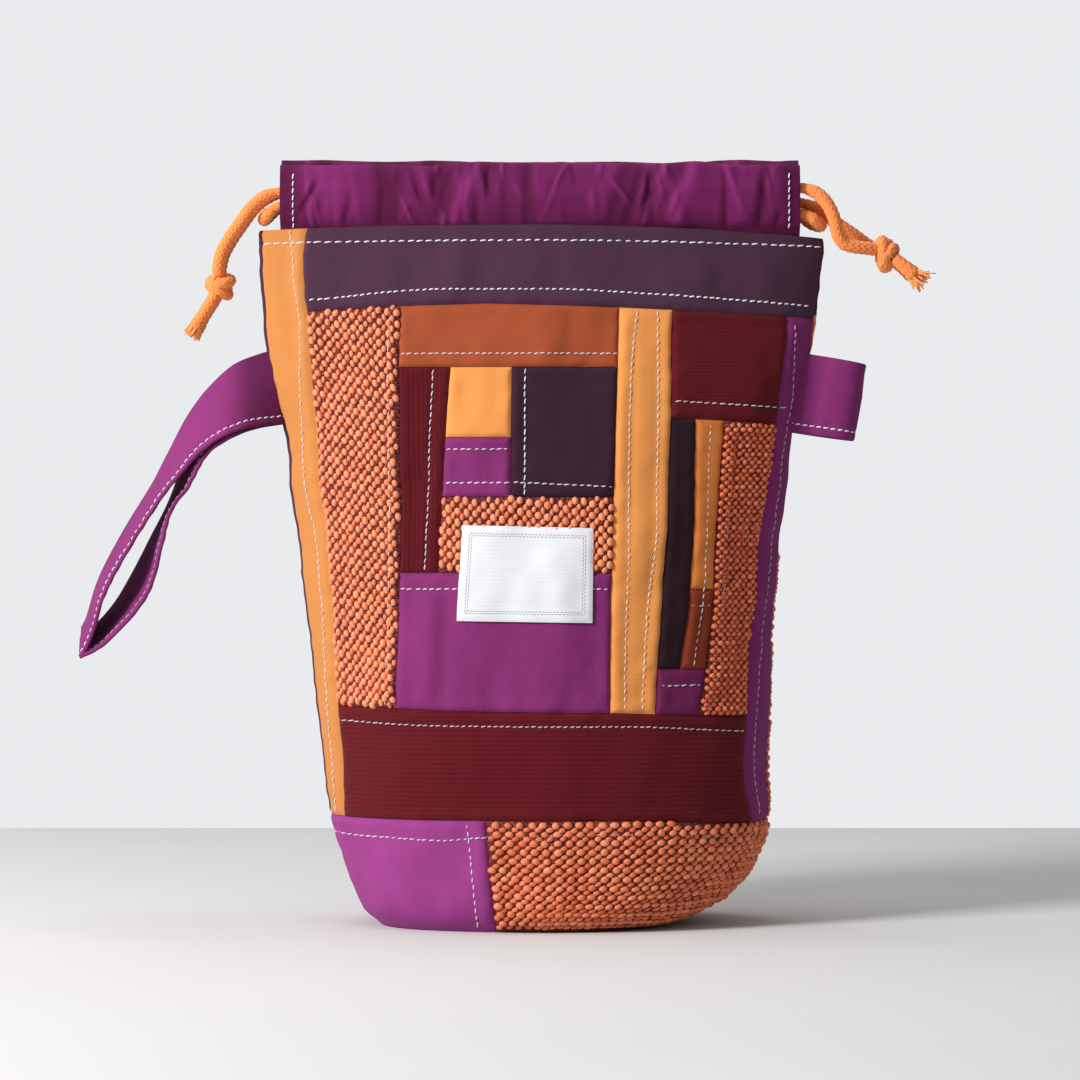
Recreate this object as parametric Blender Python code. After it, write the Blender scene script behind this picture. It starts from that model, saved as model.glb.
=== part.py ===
"""Kinchaku drawstring pouch: a patchwork shell over a cotton lining, with a drawstring
collar of two casings, two knotted cords, a wrist strap and a side tab.

The pouch stands on its base at z = 0 with its front towards -Y. Sizes are in
millimetres and become metres where a mesh is made.
"""
import bmesh
import bpy
import math
import numpy as np

MM = 0.001

# Body: half widths, half depth and squareness of the level sections, from the floor up
# height, left half width, right half width, half depth, squareness exponent
BODY_RINGS = [
    (0, 59, 44, 38, 0.34),
    (6, 65.5, 62, 43.5, 0.38),
    (12, 68, 71.5, 45.5, 0.41),
    (22, 72, 79.5, 46.5, 0.44),
    (36, 77, 83.5, 47, 0.45),
    (54, 79.6, 84, 47, 0.46),
    (87, 83, 85.2, 45, 0.50),
    (135, 89.6, 88.5, 39.5, 0.55),
    (183, 95.2, 93.5, 31.5, 0.58),
    (220, 103.2, 102, 21.5, 0.60),
    (258, 105.2, 106.5, 13, 0.60),
]
RIM_MIDDLE = 258.8
RIM_LINE = [(-105, 257.5), (-50, 258.6), (0, RIM_MIDDLE), (50, 257.6), (106, 254.6)]
BASE_ROUNDING = 36.0
FULL_TURN = 360
HALF_TURN = 180

SHELL_THICKNESS = 1.2
LINING_THICKNESS = 1.0
LAYER_GAP = 0.8
SEAM_GAP = 0.5
RING_STEP = 6.0
PATCH_STEP = 8.4
LINING_STEP = 7.5
ROW_STEP = 20.0
LOW_ROWS = (0, 2.5, 6, 12, 22)
HIGH_ROWS = (38, 60, 85, 115, 145, 175, 200, 222)
ROUNDS = 6

# Seam lines of the front, across by height, shared by the patches on their two sides
MUSTARD_EDGE = [(-72.6, 41), (-73.8, 83), (-78, 137), (-82.4, 175), (-85.2, 212), (-87.2, 259)]
PURPLE_EDGE = [(77, 41), (75, 58), (76, 78), (82.7, 151), (87.4, 184), (92, 225)]
TWEED_EDGE = [(-51.6, 80), (-51.4, 229)]
COLUMN_EDGE = [(-37.3, 130), (-36, 157), (-34.3, 187), (-32.9, 205)]
MIDDLE_EDGE = [(-10.9, 158), (-10.3, 206)]
STRIP_LEFT_EDGE = [(25.6, 80), (26, 124), (27, 158), (29.4, 228)]
STRIP_RIGHT_EDGE = [(41.9, 80), (45.8, 141), (48.2, 186), (49, 228)]
DARK_EDGE = [(51.2, 95), (53.8, 116), (56.2, 146), (57.5, 187)]
NARROW_EDGE = [(58.1, 79), (61.4, 98), (64.6, 146), (67.9, 187)]
BASE_EDGE = [(-16, 0), (-18, 21), (-19.8, 41)]

# Seam lines of the front, height by across
BAND_LINE = [(-85, 226.8), (-53, 228.4), (-19.5, 229.3), (29.4, 227.8), (101, 224.8)]
RUST_LINE = [(-52, 205.6), (30, 205.6)]
MUSTARD_LINE = [(-34, 179.7), (-10, 179.7)]
COLUMN_LINE = [(-37, 158.0), (28, 157.6)]
TWEED_LINE = [(-52, 130.3), (27, 130.3)]
CORDUROY_LINE = [(48, 186.8), (91, 185.3)]
NARROW_LINE = [(53, 124.4), (65, 124.3)]
SMALL_LINE = [(41, 95.5), (63, 95.2)]
CROSS_BAND_LINE = [(-73, 81.7), (-22, 80.2), (29, 79.6), (76, 77.7)]
BASE_LINE = [(-73, 40.7), (-20, 41.0), (29, 41.0), (79, 38.5)]

# Patches of the front: name, left, right, lower and upper seam, cloth
# None stands for the side seam or the shell's top edge
FRONT_PATCHES = [
    ("rim_band_front", MUSTARD_EDGE, None, BAND_LINE, None, "aubergine"),
    ("mustard_side_strip", None, MUSTARD_EDGE, BASE_LINE, None, "mustard"),
    ("purple_side_strip", PURPLE_EDGE, None, BASE_LINE, BAND_LINE, "purple"),
    ("tweed_left", MUSTARD_EDGE, TWEED_EDGE, CROSS_BAND_LINE, BAND_LINE, "tweed"),
    ("rust_top", TWEED_EDGE, STRIP_LEFT_EDGE, RUST_LINE, BAND_LINE, "rust"),
    ("corduroy_column", TWEED_EDGE, COLUMN_EDGE, TWEED_LINE, RUST_LINE, "burgundy"),
    ("mustard_square", COLUMN_EDGE, MIDDLE_EDGE, MUSTARD_LINE, RUST_LINE, "mustard"),
    ("purple_square", COLUMN_EDGE, MIDDLE_EDGE, COLUMN_LINE, MUSTARD_LINE, "purple"),
    ("aubergine_block", MIDDLE_EDGE, STRIP_LEFT_EDGE, COLUMN_LINE, RUST_LINE, "aubergine"),
    ("tweed_middle", COLUMN_EDGE, STRIP_LEFT_EDGE, TWEED_LINE, COLUMN_LINE, "tweed"),
    ("purple_block", TWEED_EDGE, STRIP_LEFT_EDGE, CROSS_BAND_LINE, TWEED_LINE, "purple"),
    ("mustard_strip", STRIP_LEFT_EDGE, STRIP_RIGHT_EDGE, CROSS_BAND_LINE, BAND_LINE, "mustard"),
    ("corduroy_top", STRIP_RIGHT_EDGE, PURPLE_EDGE, CORDUROY_LINE, BAND_LINE, "burgundy"),
    ("aubergine_strip", STRIP_RIGHT_EDGE, DARK_EDGE, SMALL_LINE, CORDUROY_LINE, "aubergine"),
    ("mustard_narrow", DARK_EDGE, NARROW_EDGE, NARROW_LINE, CORDUROY_LINE, "mustard"),
    ("rust_narrow", DARK_EDGE, NARROW_EDGE, SMALL_LINE, NARROW_LINE, "rust"),
    ("purple_small", STRIP_RIGHT_EDGE, NARROW_EDGE, CROSS_BAND_LINE, SMALL_LINE, "purple"),
    ("tweed_right", NARROW_EDGE, PURPLE_EDGE, CROSS_BAND_LINE, CORDUROY_LINE, "tweed"),
    ("corduroy_band", MUSTARD_EDGE, PURPLE_EDGE, BASE_LINE, CROSS_BAND_LINE, "burgundy"),
]

# Back panel
BACK_BAND_HEIGHT = 226.0
BACK_SPLIT = 38.0
BACK_ROW = 138.0

# Woven label
LABEL_LEFT = [(-29.3, 112.9), (-27.9, 147.6)]
LABEL_RIGHT = [(18.8, 112.2), (19.2, 146.5)]
LABEL_TOP = [(-28, 147.6), (19.2, 146.5)]
LABEL_BOTTOM = [(-29.3, 112.9), (18.9, 112.2)]
LABEL_THICKNESS = 0.6

# Drawstring collar
CASING_TOP = 282.0
BACK_CASING_RISE = 1.4
CASING_WALL = 0.65
FLAP_DEPTH = 9.0
FLAP_THICKNESS = 1.0
STEP_BELOW = 7.0
STEP_RISE = 5.0
FLARE_START = 0.5
FLARE_HEIGHT = 3.6
CHANNEL_HALF = 2.5
CASING_END_DEPTH = 3.6
CASING_MIDDLE_DEPTH = 9.0
CASING_HALF_WIDTH = 96.6
CASING_SHARES = (0.373, 0.621, 0.828, 0.921, 1.0)
CASING_STRAIGHT = 7.0
CASING_TAPER = 0.2
FOLD_HEIGHT = 6.0
FOLD_SHOULDER = (1.6, 1.2)
FOLD_HALF = 0.6
CHANNEL_FLOOR = 0.3
CHANNEL_TOP = (0.4, 2.6)
CROSSING_ROOM = 0.4

# Cords
CORD_DIAMETER = 5.2
CORD_IN_CASING = 4.0
CORD_CROSSING = 4.3
CROSSING_FLAT = 12.0
CROSSING_EASE = 12.0
CORD_TURN = 24.0
CORD_SPACING = 12.0
CORD_READING = 0.25
CORD_SWELL = (1.0, 5.0)
KNOT_GAP = 0.35
KNOT_LEAD = 1.5
KNOT_SIDES = 14
KNOT_ROWS = 9

# Wrist strap and side tab
STRAP_WIDTH = 27.6
STRAP_THICKNESS = 2.0
STRAP_PLY_GAP = 0.6
STRAP_TIP_ROOM = 3.0
STRAP_OUT_STEPS = 20
STRAP_RETURN_STEPS = 22
STRAP_SEAM = (213.2, 185.8)
TAB_WIDTH = 29.2
TAB_LENGTH = 22.4
TAB_THICKNESS = 2.0
TAB_PLY_GAP = 0.6
TAB_SWELL = 4.2
TAB_OUTLINE = [(0, 0), (0.28, 0.6), (0.5, 0.93), (0.7, 1), (0.84, 0.86), (0.94, 0.5), (1, 0)]
TAB_HEIGHT = 196.8
TAB_DROOP = 9.0
ROOT_GAP = 0.7

PURPLE = (0.205, 0.026, 0.145)
MUSTARD = (0.80, 0.31, 0.06)
AUBERGINE = (0.050, 0.022, 0.042)
RUST = (0.42, 0.09, 0.03)
BURGUNDY = (0.11, 0.012, 0.018)
TWEED = (0.60, 0.17, 0.06)
ORANGE = (0.80, 0.14, 0.02)
WHITE = (0.82, 0.84, 0.87)


def clear_scene():
    """Remove every object, so the pouch is all there is."""
    for thing in list(bpy.data.objects):
        bpy.data.objects.remove(thing, do_unlink=True)


def material(name, colour, roughness=0.9):
    """A cloth finish in one colour."""
    finish = bpy.data.materials.new(name)
    finish.use_nodes = True
    shader = finish.node_tree.nodes["Principled BSDF"]
    shader.inputs["Base Color"].default_value = (*colour, 1.0)
    shader.inputs["Roughness"].default_value = roughness
    shader.inputs["Metallic"].default_value = 0.0
    return finish


def smooth(xs, ys, x):
    """Cubic through the points (xs, ys) that never overshoots them, read at x."""
    xs = np.asarray(xs, float)
    ys = np.asarray(ys, float)
    step = np.diff(xs)
    rise = np.diff(ys) / step
    slope = np.empty_like(ys)
    product = rise[:-1] * rise[1:]
    slope[1:-1] = np.where(product > 0, 2 * product / (rise[:-1] + rise[1:] + 1e-12), 0)
    slope[0] = rise[0]
    slope[-1] = rise[-1]
    x = np.clip(x, xs[0], xs[-1])
    k = np.clip(np.searchsorted(xs, x) - 1, 0, len(step) - 1)
    u = (x - xs[k]) / step[k]
    start = (2 * u**3 - 3 * u**2 + 1) * ys[k] + (u**3 - 2 * u**2 + u) * step[k] * slope[k]
    end = (3 * u**2 - 2 * u**3) * ys[k + 1] + (u**3 - u**2) * step[k] * slope[k + 1]
    return start + end


def ease(value):
    """0 below 0, 1 above 1, and a smooth step between."""
    value = np.clip(value, 0, 1)
    return value * value * (3 - 2 * value)


def section(height):
    """Left and right half width, half depth and squareness of the body at a height."""
    heights = [ring[0] for ring in BODY_RINGS]
    return [smooth(heights, [ring[k] for ring in BODY_RINGS], height) for k in range(1, 5)]


def rim_height(across):
    """Height of the shell's top edge."""
    return smooth([p[0] for p in RIM_LINE], [p[1] for p in RIM_LINE], across)


def body_point(turn, height, inset):
    """Point of the body surface, moved in by inset.

    turn runs round the body in degrees: 0 is the front's middle, -90 the left seam,
    90 the right seam and 180 the back's middle.
    """
    left, right, depth, square = section(height)
    sine = np.sin(np.radians(turn))
    cosine = np.cos(np.radians(turn))
    half = np.where(sine < 0, left, right) - inset
    x = half * sine
    y = -np.sign(cosine) * (depth - inset) * np.abs(cosine) ** (2 * square)
    floor = inset * (1 - ease(height / BASE_ROUNDING))
    return np.stack([x, y, height + floor], axis=-1)


def body_depth(across, height, inset):
    """How far the front surface lies from the middle plane at a place across."""
    left, right, depth, square = section(height)
    half = np.where(across < 0, left, right) - inset
    share = np.clip(1 - (across / half) ** 2, 0, 1)
    return (depth - inset) * share**square


def front_edge(line, shift=0.0):
    """Turn of a seam line of the front at each height, moved sideways by shift."""
    def turn(height):
        across = smooth([p[1] for p in line], [p[0] for p in line], height) + shift
        left, right, _, _ = section(height)
        return np.degrees(np.arcsin(np.clip(across / np.where(across < 0, left, right), -1, 1)))
    return turn


def back_edge(line, shift, sign):
    """Turn of a seam line of the back, reached round the left (-1) or right (1) side."""
    front = front_edge(line, shift)
    return lambda height: sign * HALF_TURN - front(height)


def side_edge(sign, away):
    """Turn just before a side seam: sign -1 left, 1 right; away 1 on the front, -1 behind."""
    def turn(height):
        _, _, depth, square = section(height)
        cosine = (SEAM_GAP / 2 / depth) ** (1 / (2 * square))
        return sign * (90 - away * np.degrees(np.arcsin(cosine)))
    return turn


def level(line, shift=0.0):
    """Height of a seam line at each place across, moved up by shift."""
    places = [p[0] for p in line]
    heights = [p[1] for p in line]
    return lambda across: np.interp(across, places, heights) + shift


def patch_grid(start, end, bottom, top, inset):
    """Grid of points of a patch between two edges and two heights."""
    middle = (bottom(0.0) + top(0.0)) / 2
    columns = 1 + max(1, math.ceil(float(abs(end(middle) - start(middle))) / PATCH_STEP))
    rows = 1 + max(1, math.ceil(float(top(0.0) - bottom(0.0)) / ROW_STEP))
    u, v = np.meshgrid(np.linspace(0, 1, columns), np.linspace(0, 1, rows))
    height = np.full(u.shape, float(middle))
    for _ in range(ROUNDS):
        turn = start(height) + (end(height) - start(height)) * u
        across = body_point(turn, height, 0.0)[..., 0]
        height = bottom(across) + (top(across) - bottom(across)) * v
    return body_point(turn, height, inset)


def add_object(name, vertices, faces, finish):
    """One named object from vertices in millimetres and faces, its faces turned out."""
    mesh = bpy.data.meshes.new(name)
    mesh.from_pydata([tuple(point) for point in np.asarray(vertices) * MM], [], faces)
    shape = bmesh.new()
    shape.from_mesh(mesh)
    bmesh.ops.recalc_face_normals(shape, faces=shape.faces)
    shape.to_mesh(mesh)
    shape.free()
    mesh.materials.append(finish)
    thing = bpy.data.objects.new(name, mesh)
    bpy.context.collection.objects.link(thing)
    return thing


def layer(name, outer, inner, finish, ring=False, floor=False):
    """A cloth layer between two grids of points: a sheet, a ring or a floored cup."""
    rows, columns = outer.shape[:2]
    spans = columns if ring else columns - 1
    size = rows * columns

    def at(side, row, column):
        return side * size + row * columns + column % columns

    faces = []
    for row in range(rows - 1):
        for column in range(spans):
            for side in (0, 1):
                low = (at(side, row, column), at(side, row, column + 1))
                high = (at(side, row + 1, column + 1), at(side, row + 1, column))
                faces.append(low + high)
    edges = [(rows - 1, column, rows - 1, column + 1) for column in range(spans)]
    if not floor:
        edges += [(0, column, 0, column + 1) for column in range(spans)]
    if not ring:
        for column in (0, columns - 1):
            edges += [(row, column, row + 1, column) for row in range(rows - 1)]
    for first, start, second, end in edges:
        faces.append((at(0, first, start), at(0, second, end), at(1, second, end), at(1, first, start)))
    if floor:
        faces.append([at(0, 0, column) for column in range(columns)])
        faces.append([at(1, 0, column) for column in range(columns)])
        if not ring:
            faces.append((at(0, 0, 0), at(0, 0, columns - 1), at(1, 0, columns - 1), at(1, 0, 0)))
    vertices = np.concatenate([outer.reshape(-1, 3), inner.reshape(-1, 3)])
    return add_object(name, vertices, faces, finish)


def patch(name, start, end, bottom, top, finish, inset=0.0, thickness=SHELL_THICKNESS):
    """One patch of the shell as a thin sheet."""
    outer = patch_grid(start, end, bottom, top, inset)
    inner = patch_grid(start, end, bottom, top, inset + thickness)
    return layer(name, outer, inner, finish)


def make_front(finishes):
    """The patches of the front, each between the seam lines it shares with others."""
    gap = SEAM_GAP / 2
    for name, left, right, lower, upper, cloth in FRONT_PATCHES:
        start = front_edge(left, gap) if left else side_edge(-1, 1)
        end = front_edge(right, -gap) if right else side_edge(1, 1)
        bottom = level(lower, gap)
        top = level(upper, -gap) if upper else rim_height
        patch(name, start, end, bottom, top, finishes[cloth])
    start = front_edge(LABEL_LEFT)
    end = front_edge(LABEL_RIGHT)
    bottom = level(LABEL_BOTTOM)
    top = level(LABEL_TOP)
    outset = SEAM_GAP + LABEL_THICKNESS
    patch("label", start, end, bottom, top, finishes["label"], -outset, LABEL_THICKNESS)


def make_back(finishes):
    """The plain patches of the back."""
    gap = SEAM_GAP / 2
    split = [(BACK_SPLIT, 0), (BACK_SPLIT, RIM_MIDDLE)]
    right = side_edge(1, -1)
    left = side_edge(-1, -1)

    def from_left(height):
        """Turn of the left side seam, reached round the back."""
        return FULL_TURN + left(height)

    def flat(height):
        """The same height all the way across."""
        return level([(-CASING_HALF_WIDTH, height), (CASING_HALF_WIDTH, height)])

    base = level(BASE_LINE, gap)
    under_band = flat(BACK_BAND_HEIGHT - gap)
    before_split = back_edge(split, -gap, 1)
    after_split = back_edge(split, gap, 1)
    pieces = [
        ("rim_band_back", right, from_left, flat(BACK_BAND_HEIGHT + gap), rim_height, "aubergine"),
        ("back_panel", before_split, from_left, base, under_band, "aubergine"),
        ("back_mustard", right, after_split, flat(BACK_ROW + gap), under_band, "mustard"),
        ("back_tweed", right, after_split, base, flat(BACK_ROW - gap), "tweed"),
    ]
    for name, start, end, bottom, upper, colour in pieces:
        patch(name, start, end, bottom, upper, finishes[colour])


def make_base(finishes):
    """The two base pieces, each from the front under the pouch and up the back."""
    gap = SEAM_GAP / 2
    base_top = level(BASE_LINE, -gap)
    pieces = [
        ("base_purple", back_edge(BASE_EDGE, -gap, -1), front_edge(BASE_EDGE, -gap), "purple"),
        ("base_tweed", front_edge(BASE_EDGE, gap), back_edge(BASE_EDGE, gap, 1), "tweed"),
    ]
    for name, start, end, colour in pieces:
        columns = 1 + math.ceil(float(end(0.0) - start(0.0)) / RING_STEP)
        rows = np.array(LOW_ROWS + (0,), float)
        u, height = np.meshgrid(np.linspace(0, 1, columns), rows)
        for _ in range(ROUNDS):
            turn = start(height) + (end(height) - start(height)) * u
            across = body_point(turn, height, 0.0)[..., 0]
            height[-1] = base_top(across[-1])
        outer = body_point(turn, height, 0.0)
        inner = body_point(turn, height, SHELL_THICKNESS)
        layer(name, outer, inner, finishes[colour], floor=True)


def make_lining(finishes):
    """The lining: a cup inside the shell that steps in under the casings' flaps."""
    turns = np.arange(-HALF_TURN, HALF_TURN, LINING_STEP)
    step_low = RIM_MIDDLE - FLAP_DEPTH - STEP_BELOW
    rows = LOW_ROWS + HIGH_ROWS + (step_low, step_low + STEP_RISE, 0)
    turn, height = np.meshgrid(turns, np.array(rows, float))
    across = body_point(turn, height, 0.0)[..., 0]
    height[-1] = rim_height(body_point(turn[-1], RIM_MIDDLE + 0 * turn[-1], 0.0)[..., 0])
    step_in = ease((height - rim_height(across) + FLAP_DEPTH + STEP_BELOW) / STEP_RISE)
    outside = SHELL_THICKNESS + LAYER_GAP + step_in * (FLAP_THICKNESS + LAYER_GAP)
    outer = body_point(turn, height, outside)
    inner = body_point(turn, height, outside + LINING_THICKNESS)
    layer("lining", outer, inner, finishes["lining"], ring=True, floor=True)


def casing_line(across):
    """Depth of a casing's middle from the mouth's middle plane."""
    share = 1 - (across / CASING_HALF_WIDTH) ** 2
    return CASING_END_DEPTH + (CASING_MIDDLE_DEPTH - CASING_END_DEPTH) * share


def crossing(across):
    """1 where the two cords pass each other in the middle of a casing, 0 elsewhere."""
    return 1 - ease((np.abs(across) - CROSSING_FLAT) / CROSSING_EASE)


def casing_stations():
    """Places across where a casing, and a cord inside it, has a section of its own."""
    middle = [CROSSING_FLAT / 2, CROSSING_FLAT, CROSSING_FLAT + CROSSING_EASE / 2]
    middle.append(CROSSING_FLAT + CROSSING_EASE)
    half = middle + [share * CASING_HALF_WIDTH for share in CASING_SHARES]
    return np.array([-place for place in half[::-1]] + [0.0] + half)


def make_casing(name, side, rise, finish):
    """A casing: a folded cloth tube, open at both ends, on a flap held in the rim.

    side is -1 for the front casing and 1 for the back one.
    """
    thick = CHANNEL_HALF + CASING_WALL
    across = casing_stations()
    rim = rim_height(across)
    top = CASING_TOP + rise + 0 * across
    flare_end = rim + FLARE_START + FLARE_HEIGHT
    straight_end = flare_end + CASING_STRAIGHT
    outside = SHELL_THICKNESS + LAYER_GAP
    far_flap = body_depth(across, rim, outside)
    near_flap = body_depth(across, rim, outside + FLAP_THICKNESS)
    bulge = (CORD_CROSSING + CROSSING_ROOM) * crossing(across)
    far = casing_line(across) + thick
    near = casing_line(across) - thick - bulge
    fold = casing_line(across)
    low = rim - FLAP_DEPTH
    low_far = body_depth(across, low, outside)
    low_near = body_depth(across, low, outside + FLAP_THICKNESS)
    shoulder_depth, shoulder_drop = FOLD_SHOULDER
    channel_depth, channel_drop = CHANNEL_TOP
    outline = [
        (low_far, low),
        (far_flap, rim + FLARE_START),
        (far, flare_end),
        (far, straight_end),
        (far - CASING_TAPER, top - FOLD_HEIGHT),
        (fold + shoulder_depth, top - shoulder_drop),
        (fold + FOLD_HALF, top),
        (fold - FOLD_HALF, top),
        (fold - shoulder_depth, top - shoulder_drop),
        (near + CASING_TAPER, top - FOLD_HEIGHT),
        (near, straight_end),
        (near, flare_end),
        (near_flap, rim + FLARE_START),
        (low_near, low),
    ]
    far_wall = far - CASING_WALL
    near_wall = near + CASING_WALL
    channel_fold = top - FOLD_HEIGHT - CASING_TAPER
    channel = [
        (far_wall, flare_end + CHANNEL_FLOOR),
        (far_wall, straight_end),
        (far_wall - CASING_TAPER, channel_fold),
        (fold + channel_depth, top - channel_drop),
        (fold - channel_depth, top - channel_drop),
        (near_wall + CASING_TAPER, channel_fold),
        (near_wall, straight_end),
        (near_wall, flare_end + CHANNEL_FLOOR),
    ]

    def rings(points):
        return np.stack([np.stack([across, side * y, z], axis=-1) for y, z in points], axis=1)

    outer = rings(outline)
    inner = rings(channel)
    sides = outer.shape[1]
    holes = inner.shape[1]
    base = outer.shape[0] * sides
    last = outer.shape[0] - 1
    faces = []
    for column in range(last):
        for k in range(sides):
            n = (k + 1) % sides
            low = column * sides
            faces.append((low + k, low + n, low + sides + n, low + sides + k))
        for k in range(holes):
            n = (k + 1) % holes
            low = base + column * holes
            faces.append((low + k, low + n, low + holes + n, low + holes + k))
    flap = [(0, 1, 12, 13), (1, 2, 11, 12)]
    walls = [(2, 3), (3, 4), (4, 5), (5, 6, 7, 8), (8, 9), (9, 10), (10, 11), (11, 2)]
    for column in (0, last):
        for loop in flap:
            faces.append([column * sides + k for k in loop])
        for k, wall in enumerate(walls):
            hole = [base + column * holes + n for n in ((k + 1) % holes, k)]
            faces.append([column * sides + n for n in wall] + hole)
    vertices = np.concatenate([outer.reshape(-1, 3), inner.reshape(-1, 3)])
    return add_object(name, vertices, faces, finish)


# Knots: centre and half sizes
LEFT_KNOT = ((-119.0, 0.0, 237.0), (5.8, 5.6, 5.8))
RIGHT_KNOT = ((128.7, 0.0, 249.0), (5.2, 5.6, 6.8))

# Routes of the cords outside the casings, from the knot to the casing's end and back
LEFT_CORD_FRONT = [
    (-119.8, -3.5, 243.2), (-118.9, -4.1, 247.5), (-116.1, -4.1, 253.4), (-111.6, -4.0, 260.1),
    (-106.8, -3.9, 266.4), (-102.0, -3.7, 270.2),
]
LEFT_CORD_TURN = [(101.0, -3.5, 262.0), (104.6, 0.0, 259.4), (101.0, 3.5, 260.8)]
LEFT_CORD_BACK = [
    (-102.0, 3.7, 270.2), (-106.8, 3.9, 266.4), (-111.6, 4.0, 260.1), (-116.1, 4.1, 253.4),
    (-118.9, 4.1, 247.5), (-119.8, 3.5, 243.2),
]
RIGHT_CORD_FRONT = [
    (122.2, -3.6, 251.0), (116.8, -4.8, 251.2), (112.9, -5.4, 252.4), (110.6, -5.8, 255.9),
    (109.4, -5.8, 261.2), (106.6, -5.0, 267.4), (101.9, -4.0, 271.8),
]
RIGHT_CORD_TURN = [(-100.3, -3.4, 264.2), (-103.0, 0.0, 261.6), (-100.3, 3.4, 264.2)]
RIGHT_CORD_BACK = [
    (101.9, 3.8, 266.8), (106.8, 4.4, 263.8), (111.6, 4.6, 260.4), (116.6, 4.4, 257.0),
    (122.4, 3.6, 252.4),
]
# Heights of the cords inside the casings, across by height
LEFT_IN_FRONT = [(-97, 271.6), (-20, 271.0), (20, 265.5), (97, 263.6)]
LEFT_IN_BACK = [(-97, 271.6), (-20, 271.0), (20, 265.5), (60, 264.8), (97, 263.0)]
RIGHT_IN_FRONT = [(-97, 266.2), (-20, 265.6), (20, 271.0), (97, 273.2)]
RIGHT_IN_BACK = [(-97, 266.2), (-20, 265.6), (20, 271.0), (60, 270.2), (97, 268.4)]
# Loose ends below the knots
LEFT_TAIL = [(-121.8, -3.3, 231.9), (-123.7, -3.2, 228.9), (-126.6, -2.9, 224.2), (-129.6, -2.9, 218.8)]
RIGHT_TAIL = [(133.8, -3.4, 245.6), (136.6, -3.2, 243.3), (139.6, -2.9, 240.9), (143.6, -2.9, 238.4)]


def inside_casing(heights, side, inward, backwards=False):
    """Points of a cord inside a casing, pushed inward at the crossing or not."""
    across = casing_stations()
    depth = casing_line(across) - inward * CORD_CROSSING * crossing(across)
    height = smooth([p[0] for p in heights], [p[1] for p in heights], across)
    points = np.stack([across, side * depth, height], axis=-1)
    return points[::-1] if backwards else points


def leave_knot(knot, toward):
    """Two points that lead straight out from a knot, in the direction of another point."""
    centre, half = np.array(knot[0]), np.array(knot[1])
    direction = np.array(toward) - centre
    direction /= np.linalg.norm(direction)
    reach = 1 / np.linalg.norm(direction / half)
    start = reach + KNOT_GAP
    return [centre + direction * start, centre + direction * (start + KNOT_LEAD)]


def read_curve(points):
    """Points of a smooth curve through the route, closer together where it bends."""
    points = np.asarray(points, float)
    along = np.concatenate([[0], np.cumsum(np.linalg.norm(np.diff(points, axis=0), axis=1))])
    fine = np.linspace(0, along[-1], int(along[-1] / CORD_READING))
    curve = np.stack([smooth(along, points[:, k], fine) for k in range(3)], axis=-1)
    chosen = [0]
    heading = curve[1] - curve[0]
    heading /= np.linalg.norm(heading)
    for k in range(1, len(curve) - 1):
        step = curve[k + 1] - curve[k]
        step /= np.linalg.norm(step)
        turned = math.degrees(math.acos(max(-1, min(1, float(step @ heading)))))
        if (k - chosen[-1]) * fine[1] > CORD_SPACING or turned > CORD_TURN:
            chosen.append(k)
            heading = step
    return np.array([curve[k] for k in chosen] + [curve[-1]])


def make_cord(name, points, finish):
    """A round cord, squeezed slimmer inside the casings."""
    points = read_curve(points)
    curve = bpy.data.curves.new(name, "CURVE")
    curve.dimensions = "3D"
    curve.bevel_depth = CORD_DIAMETER / 2 * MM
    curve.bevel_resolution = 2
    curve.use_fill_caps = True
    line = curve.splines.new("POLY")
    line.points.add(len(points) - 1)
    slim = CORD_IN_CASING / CORD_DIAMETER
    for place, point in zip(points, line.points):
        outside = ease((abs(place[0]) - CASING_HALF_WIDTH - CORD_SWELL[0]) / CORD_SWELL[1])
        point.co = (*(place * MM), 1.0)
        point.radius = slim + (1 - slim) * float(outside)
    curve.materials.append(finish)
    thing = bpy.data.objects.new(name, curve)
    bpy.context.collection.objects.link(thing)
    return thing


def make_knot(name, knot, finish):
    """A knot as a rounded solid."""
    centre, half = knot
    shape = bmesh.new()
    bmesh.ops.create_uvsphere(shape, u_segments=KNOT_SIDES, v_segments=KNOT_ROWS, radius=1.0)
    vertices = [np.array(vertex.co) * half + centre for vertex in shape.verts]
    faces = [[vertex.index for vertex in face.verts] for face in shape.faces]
    shape.free()
    return add_object(name, vertices, faces, finish)


def make_cords(finishes):
    """Both cords, each through the two casings and tied in a knot with two loose ends."""
    orange = finishes["orange"]
    left = leave_knot(LEFT_KNOT, LEFT_CORD_FRONT[0]) + LEFT_CORD_FRONT[1:]
    left += list(inside_casing(LEFT_IN_FRONT, -1, 0))
    left += LEFT_CORD_TURN + list(inside_casing(LEFT_IN_BACK, 1, 0, True))
    left += LEFT_CORD_BACK[:-1] + leave_knot(LEFT_KNOT, LEFT_CORD_BACK[-1])[::-1]
    make_cord("cord_left", left, orange)
    right = leave_knot(RIGHT_KNOT, RIGHT_CORD_FRONT[0]) + RIGHT_CORD_FRONT[1:]
    right += list(inside_casing(RIGHT_IN_FRONT, -1, 1, True))
    right += RIGHT_CORD_TURN + list(inside_casing(RIGHT_IN_BACK, 1, 1))
    right += RIGHT_CORD_BACK[:-1] + leave_knot(RIGHT_KNOT, RIGHT_CORD_BACK[-1])[::-1]
    make_cord("cord_right", right, orange)
    for side, knot, tail in (("left", LEFT_KNOT, LEFT_TAIL), ("right", RIGHT_KNOT, RIGHT_TAIL)):
        make_knot("knot_" + side, knot, orange)
        for place, mirror in (("front", 1), ("back", -1)):
            points = [np.array(point) * (1, mirror, 1) for point in tail]
            points = leave_knot(knot, points[0]) + points[1:]
            make_cord("tail_" + side + "_" + place, points, orange)


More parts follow.
